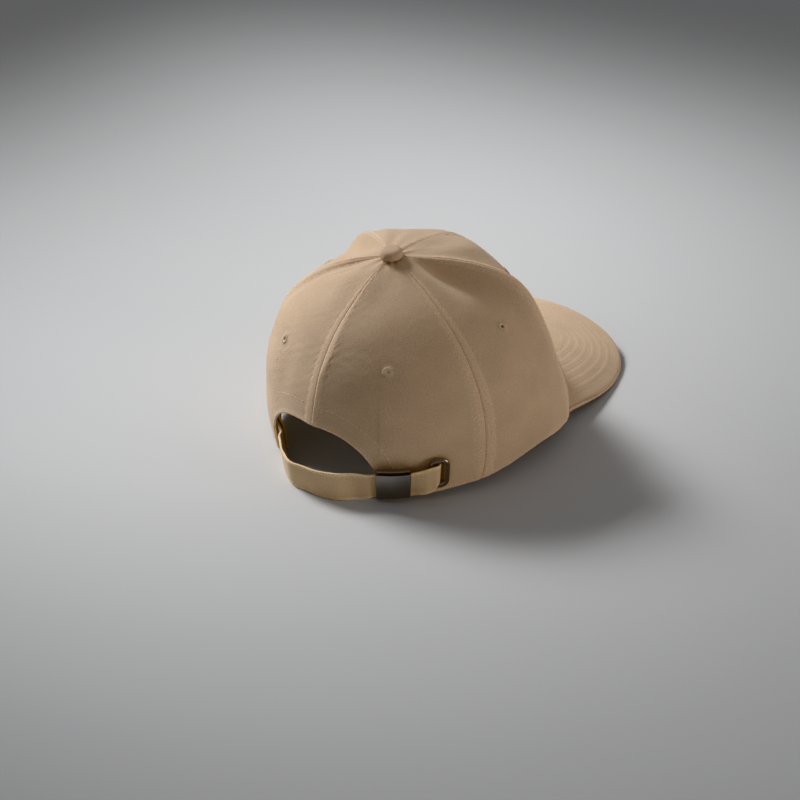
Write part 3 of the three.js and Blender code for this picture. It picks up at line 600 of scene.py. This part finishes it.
for place, (from_azimuth, to_azimuth, vent_azimuth, vent_down, _) in PANELS.items():
    azimuth, down, height, weave, paleness = panel_grid(from_azimuth, to_azimuth, vent_azimuth, vent_down)
    normals = normal_of(crown, azimuth, down)
    outside = crown(azimuth, down) + slack(azimuth, down)[..., None] * normals
    origin, out = crown_axes(vent_azimuth, vent_down)[:2]
    origin = origin + out * slack(vent_azimuth, vent_down)
    from_vent = np.linalg.norm(outside - origin, axis=-1)
    i, j = np.unravel_index(from_vent.argmin(), from_vent.shape)
    outside = outside + (origin - outside[i, j]) * np.exp(-(from_vent / VENT_PULL) ** 2)[..., None]
    from_vent = np.linalg.norm(outside - origin, axis=-1)
    for ring_height, ring_radius, ring_width in EYELET_RINGS:
        height = height + ring_height * np.exp(-((from_vent - ring_radius) / ring_width) ** 2)
    outer = outside + height[..., None] * normals
    inner = outside + (np.minimum(height, INSIDE_FOLLOWS) - PANEL_WALL)[..., None] * normals
    for u, v in AROUND_A_POINT:
        spoke = outer[i + u, j + v] - origin
        spoke = unit(spoke - out * (spoke @ out)) * VENT_RADIUS
        outer[i + u, j + v] = origin + spoke + out * VENT_LIP
        inner[i + u, j + v] = origin + spoke - out * PANEL_WALL
    piece = walled(
        f"panel_{place}", outer, inner, KHAKI_TWILL, weave, paleness, bulge=0.3, paleness_inside=0, hole=(i, j))
    # the inner faces take the reverse twill, which carries a painted glow
    inside = np.zeros(len(piece.data.polygons), np.int32)
    # the hole takes four cells out of each side
    cells = (outer.shape[0] - 1) * (outer.shape[1] - 1) - 4
    inside[cells:2 * cells] = 1
    piece.data.materials.append(GLOWING_TWILL_REVERSE)
    piece.data.polygons.foreach_set("material_index", inside)
    if place == "back_right":
        origin, out, level, up = SLOT_AXES
        outline = oblong(half_width=2.6, half_height=7.6, corner=2.0, steps=4)[0]
        ring = origin + outline[:, :1] * level + outline[:, 1:] * up
        ends = [ring + side * SLOT_HALF_DEPTH * out for side in (-1, 1)]
        cut_with(piece, swept("cutter", ends, KHAKI_TWILL))
    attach(piece, "root")
    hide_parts(f"crown_panel_{place}")

# Topstitching and vent threads. Cotton sewing thread in the cloth's own colour: a lockstitch row on both
# sides of each seam and round the arch, and a ring of close, thicker stitches round each vent hole.

THREAD_FLATNESS = 0.6
STITCH_LENGTH, STITCH_GAP = 2.3, 0.9
# shares down where the seams' rows start and end, and azimuths of the arch's row and of its gap
SEAM_ROW_TOP, SEAM_ROW_END, SEAM_ROW_ABOVE_ARCH, LEAST_STEP = 0.085, 0.99, 0.02, 1e-4
ARCH_ROW_ENDS, ARCH_ROW_GAP = (-27, 31.5), 1.0
# along a stitch, from one end to the other: shares of its length, of its rise and of its radius
STITCH_STATIONS = np.array([0.0, 0.14, 0.5, 0.86, 1.0])
STITCH_LIFT = np.array([-0.35, 0.5, 1.0, 0.5, -0.35])
STITCH_GIRTH = np.array([0.6, 0.95, 1.0, 0.95, 0.6])
STITCH_SIDES = 6


def circle(count):
    """Even angles round a full turn."""
    return np.arange(count) * 2 * math.pi / count


def sewn(name, rows, thread, radius=0.19, rise=0.16):
    """Makes rows of stitches, each row given as starts, ends and normals.

    Each stitch comes up out of the cloth, runs along it and dives in.
    """
    starts, ends, normals = (np.concatenate([row[k] for row in rows]) for k in range(3))
    lift, girth = STITCH_LIFT * rise, STITCH_GIRTH * radius
    turn = circle(STITCH_SIDES)[:, None]
    run = ends - starts
    across = unit(np.cross(run, normals))
    centres = starts[:, None] + run[:, None] * STITCH_STATIONS[:, None] + normals[:, None] * lift[:, None]
    ring = across[:, None] * np.cos(turn) + normals[:, None] * np.sin(turn) * THREAD_FLATNESS
    points = (centres[:, :, None] + girth[:, None, None] * ring[:, None]).reshape(-1, 3)
    faces = []
    for stitch in np.arange(len(points)).reshape(-1, len(STITCH_STATIONS), STITCH_SIDES):
        faces += [*strip(stitch[:-1], stitch[1:]), stitch[0], stitch[-1, ::-1]]
    return finished(name, points, faces, thread)


def at_places(places, along, values):
    """Points or directions at places along a path."""
    return np.stack([np.interp(places, along, column) for column in values.T], -1)


def stitch_line(path, normals):
    """Starts, ends and normals of even stitches along a path of points."""
    along = travelled(path)
    at = np.arange(0, along[-1] - STITCH_LENGTH, STITCH_LENGTH + STITCH_GAP)
    return (at_places(at, along, path), at_places(at + STITCH_LENGTH, along, path),
            unit(at_places(at + STITCH_LENGTH / 2, along, normals)))


def crown_row(azimuth, down, sink):
    """A row of stitches along a line on the crown, sunk a little into the cloth."""
    normals = normal_of(crown, azimuth, down)
    off = slack(azimuth, down) - sink
    return stitch_line(crown(azimuth, down) + off[:, None] * normals, normals)


PLY_WIDTH, PLY_DEPTH = 0.5, 0.05


def sewing_thread(name, colour, dark_colour):
    """Twisted cotton thread: a little smoother than the twill, with its two plies just visible."""
    made, tree, shader = new_material(name)
    place = node(tree, "NewGeometry", "Position")
    plies = node(tree, "TexNoise", "Fac", {"Vector": place, "Scale": 1 / (PLY_WIDTH * MM), "Detail": 1.0})
    twist = node(tree, "MixRGB", "Color", {
        "Fac": plies, "Color1": linear(dark_colour), "Color2": linear(colour)})
    bump = node(tree, "Bump", "Normal", {"Height": plies, "Strength": 0.5, "Distance": PLY_DEPTH * MM})
    plug(tree, shader, {"Base Color": twist, "Normal": bump, "Roughness": 0.7, "IOR": 1.5})
    return made


KHAKI_THREAD = sewing_thread("khaki_sewing_thread", "ecd7be", "d6bd9e")
seam_rows = []
for seam in SEAMS:
    for side in (-1, 1):
        azimuth = seam + side * TOPSTITCH_FROM_SEAM / MM_A_DEGREE
        share = np.linspace(SEAM_ROW_TOP, 1.0, num=160)
        if seam == 0:
            share = np.minimum(share, arch_edge(azimuth) - SEAM_ROW_ABOVE_ARCH)
            share = share[np.concatenate([[True], np.diff(share) > LEAST_STEP])]
        seam_rows.append(crown_row(azimuth, np.minimum(share, SEAM_ROW_END), sink=0.12))
arch_azimuth = np.linspace(*ARCH_ROW_ENDS, num=240)
arch_azimuth = arch_azimuth[np.abs(arch_azimuth) > ARCH_ROW_GAP]
for side in (-1, 1):
    azimuth = arch_azimuth[arch_azimuth * side > 0][::side]
    seam_rows.append(crown_row(azimuth, arch_edge(azimuth, outset=11.5), sink=0.08))
topstitching = sewn("crown_topstitching", seam_rows, KHAKI_THREAD)
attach(topstitching, "root")

VENT_THREAD = sewing_thread("vent_buttonhole_thread", "dcc7ad", "c9b094")
VENT_STITCHES, VENT_REACH, VENT_LIFT, VENT_DIVE = 30, 3.0, 0.2, 0.3
vent_rows = []
for _, _, vent_azimuth, vent_down, open_radius in PANELS.values():
    origin, out, level, up = crown_axes(vent_azimuth, vent_down)
    origin = origin + out * (VENT_LIFT + slack(vent_azimuth, vent_down))
    turn = circle(VENT_STITCHES)[:, None]
    spoke = np.cos(turn) * level + np.sin(turn) * up
    starts = origin + spoke * open_radius - out * VENT_DIVE
    vent_rows.append((starts, origin + spoke * VENT_REACH, np.tile(out, (VENT_STITCHES, 1))))
vent_threads = sewn("vent_threads", vent_rows, VENT_THREAD, radius=0.27, rise=0.4)
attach(vent_threads, "root")

# Button. A pressed metal button is covered in the crown's twill and pinned through the peak. The cloth is
# pulled tight over its dome and gathered under its edge.

BUTTON_RADIUS, BUTTON_TILT, BUTTON_LIFT = 6.6, 7.0, 0.3
BUTTON_PROFILE = [
    # share of the radius, height in mm
    (0.0, 4.9), (0.2, 4.89), (0.4, 4.84), (0.56, 4.72), (0.68, 4.5), (0.78, 4.15), (0.86, 3.65),
    (0.925, 3.0), (0.965, 2.3), (0.99, 1.6), (1.0, 0.9), (0.995, 0.3), (0.965, -0.25), (0.91, -0.55),
    (0.82, -0.55), (0.6, -0.2), (0.23, 0.3), (0.22, -2.2), (0.0, -2.2),
]
BUTTON_SIDES = 72
# the gathers: how deep they are as a share of the radius, how many, and where they start and are whole
GATHER_DEPTH, GATHERS, GATHER_FROM, GATHER_WHOLE = 0.012, 9, 0.75, 1.0
# where the button's piece was cut from the twill, in mm, and how much its sides stretch the weave
BUTTON_CUT_AT, BUTTON_STRETCH = [40, 30, 0], 0.6
profile = np.array(BUTTON_PROFILE)
turn = circle(BUTTON_SIDES)[:, None]
gathered = np.clip((profile[:, 0] - GATHER_FROM) / (GATHER_WHOLE - GATHER_FROM), 0, 1)
radius = profile[:, 0] * BUTTON_RADIUS * (1 + GATHER_DEPTH * np.sin(GATHERS * turn) * gathered)
points = np.stack([radius * np.cos(turn), radius * np.sin(turn), 0 * radius + profile[:, 1]], -1)
tilt = -math.radians(BUTTON_TILT)
tilting = np.array([[1, 0, 0], [0, math.cos(tilt), -math.sin(tilt)], [0, math.sin(tilt), math.cos(tilt)]])
cover = np.concatenate([points[:, 1:-1].reshape(-1, 3), points[0, :1], points[0, -1:]])
count = len(profile) - 2
top, bottom = len(cover) - 2, len(cover) - 1
faces = []
for i in range(BUTTON_SIDES):
    here, there = i * count, (i + 1) % BUTTON_SIDES * count
    faces += [(here + j, here + j + 1, there + j + 1, there + j) for j in range(count - 1)]
    faces += [(top, here, there), (bottom, there + count - 1, here + count - 1)]
x, y, z = cover.T
weave = np.stack([x, y - z * BUTTON_STRETCH, 0 * z], -1) + BUTTON_CUT_AT
button_place = [0, PEAK_Y + CROWN_CENTRE_Y, PEAK_Z + BUTTON_LIFT]
button = finished("button_cloth", cover @ tilting.T + button_place, faces, KHAKI_TWILL, weave)
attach(button, "root")
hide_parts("button")

# Brim. A stiff board is covered with twill above and below, bowed across and sewn to the front hem. Rows of
# stitching follow its edge and hold the cloth to the board, which puffs up a little between them.

BRIM_HALF_WIDTH, BRIM_CENTRE_Y, BRIM_REACH, BRIM_SQUARENESS = 77.0, -42.0, 101.0, 3.1
BRIM_BOW, BRIM_SLOPE, BRIM_ROOT, BRIM_THICKNESS = 146.0, 0.2, 22.6, 3.0
BRIM_FROM, BRIM_CLEAR = 118, 0.12
BRIM_COLUMNS, BRIM_ROWS, BRIM_EDGE_POINTS = 150, 96, 1441
# shares of the way out from the root: even rows, then closer ones round the edge
BRIM_EVEN_TO, BRIM_LAST = 0.975, [0.985, 0.993, 0.998, 1.0]
BRIM_STITCH_INSETS = [6.0, 10.8, 15.6, 20.4, 25.2, 30.0, 34.8]
# each row's groove, the puff of cloth inside it, and the rounded edge as shares of the thickness
GROOVE_WIDTH, GROOVE_ABOVE, GROOVE_BELOW = 0.75, 0.05, 0.10
PUFF_FROM_ROW, PUFF_WIDTH, PUFF_HEIGHT = 2.4, 1.1, 0.13
ROUNDED_WITHIN, ROUNDED_ABOVE, ROUNDED_BELOW = 1.5, 0.36, 0.3
BRIM_CUT_AT = [200, 0, 0]


def brim_underside(x, y):
    """The height of the brim's underside: an arc across, and a straight slope to the front."""
    return BRIM_ROOT - (BRIM_BOW - np.sqrt(BRIM_BOW**2 - x * x)) - BRIM_SLOPE * (-HEM_FRONT - y)


def brim_edge(sweep):
    """The brim's outer edge from above, for angles from one end to the other."""
    power = 2 / BRIM_SQUARENESS
    return np.stack([BRIM_HALF_WIDTH * np.sign(np.sin(sweep)) * np.abs(np.sin(sweep)) ** power,
                     BRIM_CENTRE_Y - BRIM_REACH * np.abs(np.cos(sweep)) ** power], -1)


def distance_to(edge_points, places):
    """How far places lie from the nearest of an edge's points."""
    return np.sqrt(((places[..., None, :] - edge_points) ** 2).sum(-1).min(-1))


share = np.linspace(0, 1, BRIM_COLUMNS + 1)
around = BRIM_FROM + (360 - 2 * BRIM_FROM) * share
hem_down = np.minimum(1, down_at_height(around, section("hem", around)))
root = crown(around, hem_down)[:, :2] - [0, CROWN_CENTRE_Y]
root = root * (1 + BRIM_CLEAR / np.linalg.norm(root, axis=1, keepdims=True))
edge = brim_edge(np.radians(-90 + 180 * share))
dense_edge = brim_edge(np.radians(np.linspace(-90, 90, BRIM_EDGE_POINTS)))
out_share = np.concatenate([np.linspace(0, BRIM_EVEN_TO, BRIM_ROWS), BRIM_LAST])
plan = root[:, None] + (edge - root)[:, None] * out_share[:, None]
# every fourth or sixth point of the edge is near enough to measure from
inset = distance_to(dense_edge[::4], plan)
groove = sum(np.exp(-((inset - row) / GROOVE_WIDTH) ** 2) for row in BRIM_STITCH_INSETS)
puff = sum(np.exp(-((inset - row - PUFF_FROM_ROW) / PUFF_WIDTH) ** 2) for row in BRIM_STITCH_INSETS)
round_off = np.clip(1 - inset / ROUNDED_WITHIN, 0, 1) ** 2
under = brim_underside(plan[..., 0], plan[..., 1])
upper_z = under + BRIM_THICKNESS - GROOVE_ABOVE * groove + PUFF_HEIGHT * puff
upper_z = upper_z - BRIM_THICKNESS * ROUNDED_ABOVE * round_off
lower_z = under + GROOVE_BELOW * groove + BRIM_THICKNESS * ROUNDED_BELOW * round_off
upper, lower, weave = (np.concatenate([plan, z[..., None]], -1) for z in (upper_z, lower_z, 0 * under))
to_crown = [0, CROWN_CENTRE_Y, 0]
brim = walled("brim_cover", upper + to_crown, lower + to_crown, KHAKI_TWILL, weave + BRIM_CUT_AT)
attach(brim, "root")
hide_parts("brim")

BRIM_THREAD = sewing_thread("brim_sewing_thread", "dbc5a9", "c5ac8f")
# the rows end this far from the hem, and no part of one lies nearer the edge than its inset less a little
ROW_CLEAR_OF_HEM, ROW_BACK_END, INSET_PLAY, BRIM_ROW_SINK = 3.0, -34, 0.3, 0.08
tangent = unit(np.gradient(dense_edge, axis=0))
inward = np.stack([-tangent[:, 1], tangent[:, 0]], -1)
brim_rows = []
for row_inset in BRIM_STITCH_INSETS:
    path = dense_edge + inward * row_inset
    from_hem = np.hypot(path[:, 0] / HEM_HALF_WIDTH, path[:, 1] / HEM_FRONT) - 1
    clear = distance_to(dense_edge[::6], path) > row_inset - INSET_PLAY
    path = path[(from_hem > ROW_CLEAR_OF_HEM / CROWN_RADIUS) & clear & (path[:, 1] < ROW_BACK_END)]
    top = brim_underside(path[:, 0], path[:, 1]) + BRIM_THICKNESS - BRIM_ROW_SINK
    slope = np.stack([path[:, 0] / BRIM_BOW, 0 * top - BRIM_SLOPE, 0 * top + 1], -1)
    brim_rows.append(stitch_line(np.concatenate([path, top[:, None]], -1) + to_crown, unit(slope)))
brim_stitching = sewn("brim_stitching", brim_rows, BRIM_THREAD, rise=0.08)
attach(brim_stitching, "root")

# Sweatband. A folded band of plain brown cotton is sewn along the hem inside, from one side of the opening
# round to the other. Its end on the wearer's left shows through the opening as a dark ochre strip.

BAND_FROM, BAND_TO = 30, 334.5
BAND_THICKNESS, BAND_HEIGHT, BAND_BOTTOM = 1.0, 30.0, 0.6
# how deep its outer face lies: inside the panels' wall, beside the strap, and where the opening shows it
BAND_INSIDE_WALL, BAND_CLEAR_OF_STRAP, BAND_SHOWN_DEPTH = 0.9, 4.5, 2.6
# the fold along its upper edge: height, distance from the edge and width in mm
BAND_ROLL, BAND_ROLL_AT, BAND_ROLL_WIDTH = 0.18, 1.5, 0.8
BAND_RADIUS, BAND_COLUMNS, BAND_ROWS = 90, 260, 14
BAND_COTTON = cotton_twill("brown_band_cotton", "c09a64", "caa570", seed=40.0)
around = np.linspace(BAND_FROM, BAND_TO, BAND_COLUMNS + 1)
rise = np.linspace(1, 0, BAND_ROWS + 1)
height = (section("hem", around) + BAND_BOTTOM)[:, None] + BAND_HEIGHT * rise
azimuth = np.broadcast_to(around[:, None], height.shape)
beside_strap = 1 - eased(np.abs(turned(azimuth)), start=58, end=72)
shown = eased(azimuth, start=308, end=322) * eased(height, start=18, end=24)
depth = np.where(shown > 0, BAND_SHOWN_DEPTH, PANEL_WALL + BAND_INSIDE_WALL)
depth = depth + (BAND_CLEAR_OF_STRAP - depth) * beside_strap * (1 - shown)
down = down_at_height(azimuth, height)
normals = normal_of(crown, azimuth, down)
edge_roll = BAND_ROLL * np.exp(-((rise * BAND_HEIGHT - BAND_ROLL_AT) / BAND_ROLL_WIDTH) ** 2)
outer = crown(azimuth, down) - depth[..., None] * normals
inner = outer - (BAND_THICKNESS + edge_roll)[None, :, None] * normals
weave = np.stack([np.radians(azimuth) * BAND_RADIUS, height, 0 * height], -1)
sweatband = walled("sweatband_cotton", outer, inner, BAND_COTTON, weave, bulge=0.25)
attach(sweatband, "root")
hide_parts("sweatband")

# Strap. A strip of the same twill is folded in four and stitched along both edges. It starts inside the left
# side of the opening and crosses it, and its free end runs through the buckle and dives into the ring.

STRAP_THICKNESS = 1.5
STRAP = {
    # heights of the lower and upper edge, and how far the middle stands off the crown at each
    "azimuth": [-42, -34, -27, -23.4, -19.2, -14.5, -9, -2, 6, 13, 19.5, 25.2, 31, 36.8, 40.3, 42.2, 43.9,
                45.2, 45.9, 46.3, 46.6, 47.4, 49.3, 54.5],
    "bottom": [3.2, 2.0, 0.8, 0.3, 0.05, 0, 0, 0, 0, 0.2, 1.0, 2.7, 4.2, 5.4, 6.2, 7.0, 8.2,
               11.6, 13.2, 13.3, 13.3, 13.3, 13.3, 13.3],
    "top": [20.0, 19.0, 18.4, 18.0, 18.0, 18.0, 18.0, 18.1, 18.3, 18.5, 18.8, 19.6, 20.9, 22.0, 23.9, 25.2,
            26.0, 26.1, 25.8, 25.8, 25.8, 25.8, 25.6, 25.2],
    "off_bottom": [-2.9, -2.9, -2.8, -2.2, 1.0, 4.8, 8.7, 10.9, 10.4, 8.6, 4.8, 2.4, 2.4, 2.5, 3.8, 4.9, 5.2,
                   4.6, 2.7, 0.4, -1.7, -3.0, -3.0, -3.0],
    "off_top": [-2.9, -2.9, -2.8, -2.2, 1.6, 5.8, 9.8, 12.2, 10.8, 7.8, 5.0, 4.0, 4.8, 4.5, 4.3, 5.0, 5.3,
                4.7, 2.7, 0.4, -1.7, -3.1, -3.1, -3.0],
}


def smooth_line(points, steps):
    """A centripetal curve through points, with even steps from each point to the next."""
    points = np.asarray(points, float)
    padded = np.concatenate([[2 * points[0] - points[1]], points, [2 * points[-1] - points[-2]]])
    made = []
    for i in range(len(points) - 1):
        p = padded[i:i + 4]
        knots = travelled(p, 0.5)
        t = np.linspace(knots[1], knots[2], steps, endpoint=False)[:, None]

        def between(a, b, one, two):
            return (b - t) / (b - a) * one + (t - a) / (b - a) * two

        first = [between(knots[k], knots[k + 1], p[k], p[k + 1]) for k in range(3)]
        second = [between(knots[k], knots[k + 2], first[k], first[k + 1]) for k in range(2)]
        made.append(between(knots[1], knots[2], *second))
    return np.concatenate([*made, points[-1:]])


def band_edges(table, steps):
    """The lower and the upper edge of a band's middle sheet, as points in mm."""
    azimuth = np.array(table["azimuth"], float)
    edges = []
    for height_name, off_name in (("bottom", "off_bottom"), ("top", "off_top")):
        z = np.array(table[height_name], float)
        down = down_at_height(azimuth, z)
        out = normal_of(crown, azimuth, down) * [1, 1, 0]
        spot = crown(azimuth, down) + unit(out) * np.array(table[off_name])[:, None]
        spot[:, 2] = z
        edges.append(smooth_line(spot, steps))
    return edges


def across_band(lower, upper, shares):
    """Points at shares of the way from a band's lower edge to its upper one."""
    return lower[:, None] + (upper - lower)[:, None] * shares[:, None]


def band_axes(lower, upper):
    """The directions out of a band's face and up from its lower edge, and its width."""
    heading = unit((np.gradient(lower, axis=0) + np.gradient(upper, axis=0)) * [1, 1, 0])
    out = np.stack([heading[:, 1], -heading[:, 0], 0 * heading[:, 0]], -1)
    return out, unit(upper - lower), np.linalg.norm(upper - lower, axis=1)


STRAP_TWILL = cotton_twill("strap_cotton_twill", "cbb08f", "d9c09f", seed=90.0)
STRAP_STEPS, STRAP_WIDTH = 12, 18.0
# across the strap: distance from its edge in mm, height of the cloth, and how much paler it is drawn
STRAP_LINES = np.array([0, 0.35, 0.8, 1.4, 1.9, 2.2, 2.5, 3.1, 4.2, 6.0, 7.6])
STRAP_SWELL = np.array([-0.35, -0.1, 0.03, 0.06, 0.0, -0.08, 0.0, 0.06, 0.03, 0.0, 0.0])
STRAP_PALE_EDGES = np.array([1.8, 1.8, 1.3, 0.6, 0.3, 0.1, 0.1, 0.0, 0.0, 0.0, 0.0])
# steps along the strap where it comes out from behind the crown, dives into the ring and is held by the
# buckle, and over how many mm it loosens after the first and tightens before the second
STRAP_LOOSE_FROM, STRAP_LOOSE_TO, STRAP_HELD_AT = 36, 200, 144
LOOSENS_OVER, TIGHTENS_OVER = 8, 6
# the soft bends where it is loose: height and length in mm, and phase
STRAP_BENDS = [(0.5, 4.3, 0.0), (0.28, 2.5, 1.3)]
lower, upper = band_edges(STRAP, STRAP_STEPS)
out, up, width = band_axes(lower, upper)
travel = travelled((lower + upper) / 2)
loose_from, loose_to, held_at = travel[[STRAP_LOOSE_FROM, STRAP_LOOSE_TO, STRAP_HELD_AT]]
free = eased(travel, loose_from, loose_from + LOOSENS_OVER)
free = free * (1 - eased(travel, loose_to - TIGHTENS_OVER, loose_to))
free = free * eased(np.abs(travel - held_at), start=10.5, end=14)
bends = sum(height * np.sin(travel / length + phase) for height, length, phase in STRAP_BENDS) * free
across = np.concatenate([STRAP_LINES / STRAP_WIDTH, 1 - STRAP_LINES[::-1] / STRAP_WIDTH])
half_thick = out[:, None] * (STRAP_THICKNESS / 2 + mirrored(STRAP_SWELL)[:, None])
middle = across_band(lower, upper, across) + (bends[:, None] * out)[:, None]
weave = np.stack([*np.broadcast_arrays(travel[:, None], across * STRAP_WIDTH, 0.0)], -1)
paleness = np.tile(mirrored(STRAP_PALE_EDGES), len(travel))
strap = walled("strap_cloth", middle + half_thick, middle - half_thick, STRAP_TWILL, weave, paleness, bulge=0.12)
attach(strap, "root")
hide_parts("strap")

STRAP_THREAD = sewing_thread("strap_sewing_thread", "e6d2ae", "d0b68e")
STRAP_ROW_INSET, STRAP_ROW_SINK = 2.2, 0.06
strap_rows = []
for line in (STRAP_ROW_INSET / STRAP_WIDTH, 1 - STRAP_ROW_INSET / STRAP_WIDTH):
    for side in (1, -1):
        off = bends[:, None] + side * (STRAP_THICKNESS / 2 - STRAP_ROW_SINK)
        strap_rows.append(stitch_line(lower + (upper - lower) * line + out * off, out * side))
strap_stitching = sewn("strap_stitching", strap_rows, STRAP_THREAD, radius=0.17, rise=0.1)
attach(strap_stitching, "root")

# Buckle tab. A short strip of the strap's twill is folded round the edge of the crown and holds the buckle's
# frame. It lies behind the strap, so only its edges could ever show.

TAB_THICKNESS, TAB_STEPS = 1.0, 8
TAB_LINES = np.array([0, 0.04, *np.linspace(0.1, 0.9, 6), 0.96, 1])
# the weave follows the strip's place, drawn out across it
TAB_WEAVE = [1, 0.3, 1]
TAB = {
    "azimuth": [38, 32, 27, 24.2, 23.0, 22.9, 23.6],
    "bottom": [4.0, 3.4, 3.0, 2.9, 2.9, 2.9, 2.9],
    "top": [13.6, 13.4, 13.2, 13.0, 13.0, 13.0, 13.0],
    "off_bottom": [-2.4, -2.4, -2.4, -2.3, -1.3, 0.1, 0.9],
    "off_top": [-2.4, -2.4, -2.4, -2.3, -1.3, 0.1, 0.9],
}
tab_lower, tab_upper = band_edges(TAB, TAB_STEPS)
half_thick = band_axes(tab_lower, tab_upper)[0][:, None] * TAB_THICKNESS / 2
middle = across_band(tab_lower, tab_upper, TAB_LINES)
tab = walled(
    "buckle_tab_cloth", middle + half_thick, middle - half_thick, STRAP_TWILL, middle * TAB_WEAVE, bulge=0.2)
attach(tab, "root")
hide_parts("buckle_tab")

# Buckle and ring. They are pressed steel with a dark gunmetal finish: the plate is brushed along its width,
# and the ring, frame and hinge are plain and a little smoother. The frame's CAD solid is kept. It grips the
# strap, the plate turns on the hinge above it, and the ring lines the slot that the strap's end goes into.

SCRATCH_DEPTH = 0.04


def gunmetal(name, colour, light_colour, roughness, grain):
    """Dark nickel-plated steel: a soft, wide highlight, and a grain of fine scratches, given per metre."""
    made, tree, shader = new_material(name)
    place = node(tree, "NewGeometry", "Position")
    stretched = node(tree, "Mapping", "Vector", {"Vector": place, "Scale": grain})
    scratches = node(tree, "TexNoise", "Fac", {"Vector": stretched, "Scale": 1.0, "Detail": 4.0})
    tone = node(tree, "MixRGB", "Color", {
        "Fac": scratches, "Color1": linear(colour), "Color2": linear(light_colour)})
    bump = node(tree, "Bump", "Normal", {
        "Height": scratches, "Strength": 0.3, "Distance": SCRATCH_DEPTH * MM})
    plug(tree, shader, {"Base Color": tone, "Normal": bump, "Metallic": 1.0, "Roughness": roughness})
    return made


BRUSHED_GUNMETAL = gunmetal("brushed_gunmetal", "8c8883", "aaa6a1", roughness=0.42, grain=(150, 150, 3500))
TUMBLED_GUNMETAL = gunmetal("tumbled_gunmetal", "85796f", "a39689", roughness=0.3, grain=(900, 900, 900))
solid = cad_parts["buckle_frame"]
solid.data.materials.clear()
solid.data.materials.append(TUMBLED_GUNMETAL)
# steps along the strap, closer together at the plate's ends, and about how many mm a step is
BUCKLE_STEPS, MM_A_STEP = np.array([0, 0.03, 0.1, 0.25, 0.5, *range(1, 12)]), 0.9
BUCKLE_FROM, BUCKLE_TO = 132, 156
PLATE_BACK, PLATE_THICKNESS, PLATE_SWELL, PLATE_LIP, PLATE_CORNER = 1.4, 1.0, 0.3, 1.0, 0.45
HINGE_RADIUS, HINGE_ABOVE, HINGE_OUT, HINGE_SHARE, HINGE_SIDES = 1.0, 2.45, 0.1, 0.9, 20
# the hinge's two grooves between its knuckles, in shares of its radius and in steps, and its rounded ends
KNUCKLE_GROOVE, KNUCKLE_GROOVE_WIDTH, HINGE_END_ROUND = 0.2, 0.2, 0.25


def spot_on_strap(step):
    """The strap's lower edge at a step along it, with the directions out and up and its width there."""
    steps = np.arange(len(width))
    return *(at_places(step, steps, values) for values in (lower, out, up)), np.interp(step, steps, width)


half = (BUCKLE_TO - BUCKLE_FROM) / 2
plate_sections, hinge_sections = [], []
for step in np.concatenate([BUCKLE_STEPS - half, [0], half - BUCKLE_STEPS[::-1]]):
    foot, outward, upward, high = spot_on_strap(BUCKLE_FROM + half + step)
    from_end = min((half - abs(step)) * MM_A_STEP, PLATE_CORNER)
    inset = PLATE_CORNER - math.sqrt(PLATE_CORNER**2 - (PLATE_CORNER - from_end) ** 2)
    front = PLATE_BACK + PLATE_THICKNESS + PLATE_SWELL * math.cos(math.pi * step / half / 2) - inset
    bottom, top = -PLATE_LIP + inset, high + PLATE_LIP - inset
    corner = [(front - PLATE_CORNER + PLATE_CORNER * math.sin(a), PLATE_CORNER * (1 - math.cos(a)))
              for a in np.radians([0, 30, 60, 90])]
    outline = [(PLATE_BACK, bottom), *((x, bottom + y) for x, y in corner),
               *((x, top - y) for x, y in corner[::-1]), (PLATE_BACK, top)]
    plate_sections.append([foot + outward * a + upward * b for a, b in outline])
    groove = KNUCKLE_GROOVE * math.exp(-((abs(step) - half / 3) / KNUCKLE_GROOVE_WIDTH) ** 2)
    knuckle = HINGE_RADIUS * (1 - groove - inset / PLATE_CORNER * HINGE_END_ROUND)
    foot, outward, upward, high = spot_on_strap(BUCKLE_FROM + half + step * HINGE_SHARE)
    axle = foot + outward * HINGE_OUT + upward * (high + HINGE_ABOVE)
    hinge_sections.append([
        axle + knuckle * (outward * math.cos(a) + upward * math.sin(a)) for a in circle(HINGE_SIDES)])

BAR_WIDTH, BAR_DEPTH, BAR_CLEAR, BAR_SIDES = 3.6, 2.7, 0.4, 24
origin, out, level, up = SLOT_AXES
bar = [(BAR_WIDTH / 2 * math.cos(a), BAR_CLEAR + BAR_DEPTH / 2 * (1 + math.sin(a)))
       for a in circle(BAR_SIDES)]
ring_sections = []
for spot, away in zip(*oblong(half_width=4.2, half_height=8.7, corner=3.4, steps=12)):
    ring_sections.append([
        origin + level * (spot[0] + away[0] * x) + up * (spot[1] + away[1] * x) + out * y for x, y in bar])
for metal_piece, cad_name in (
        (swept("buckle_plate", plate_sections, BRUSHED_GUNMETAL), "buckle_cover"),
        (swept("buckle_barrel", hinge_sections, TUMBLED_GUNMETAL), "buckle_hinge"),
        (swept("ring_bar", ring_sections, TUMBLED_GUNMETAL, closed=True), "strap_ring")):
    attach(metal_piece, "root")
    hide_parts(cad_name)
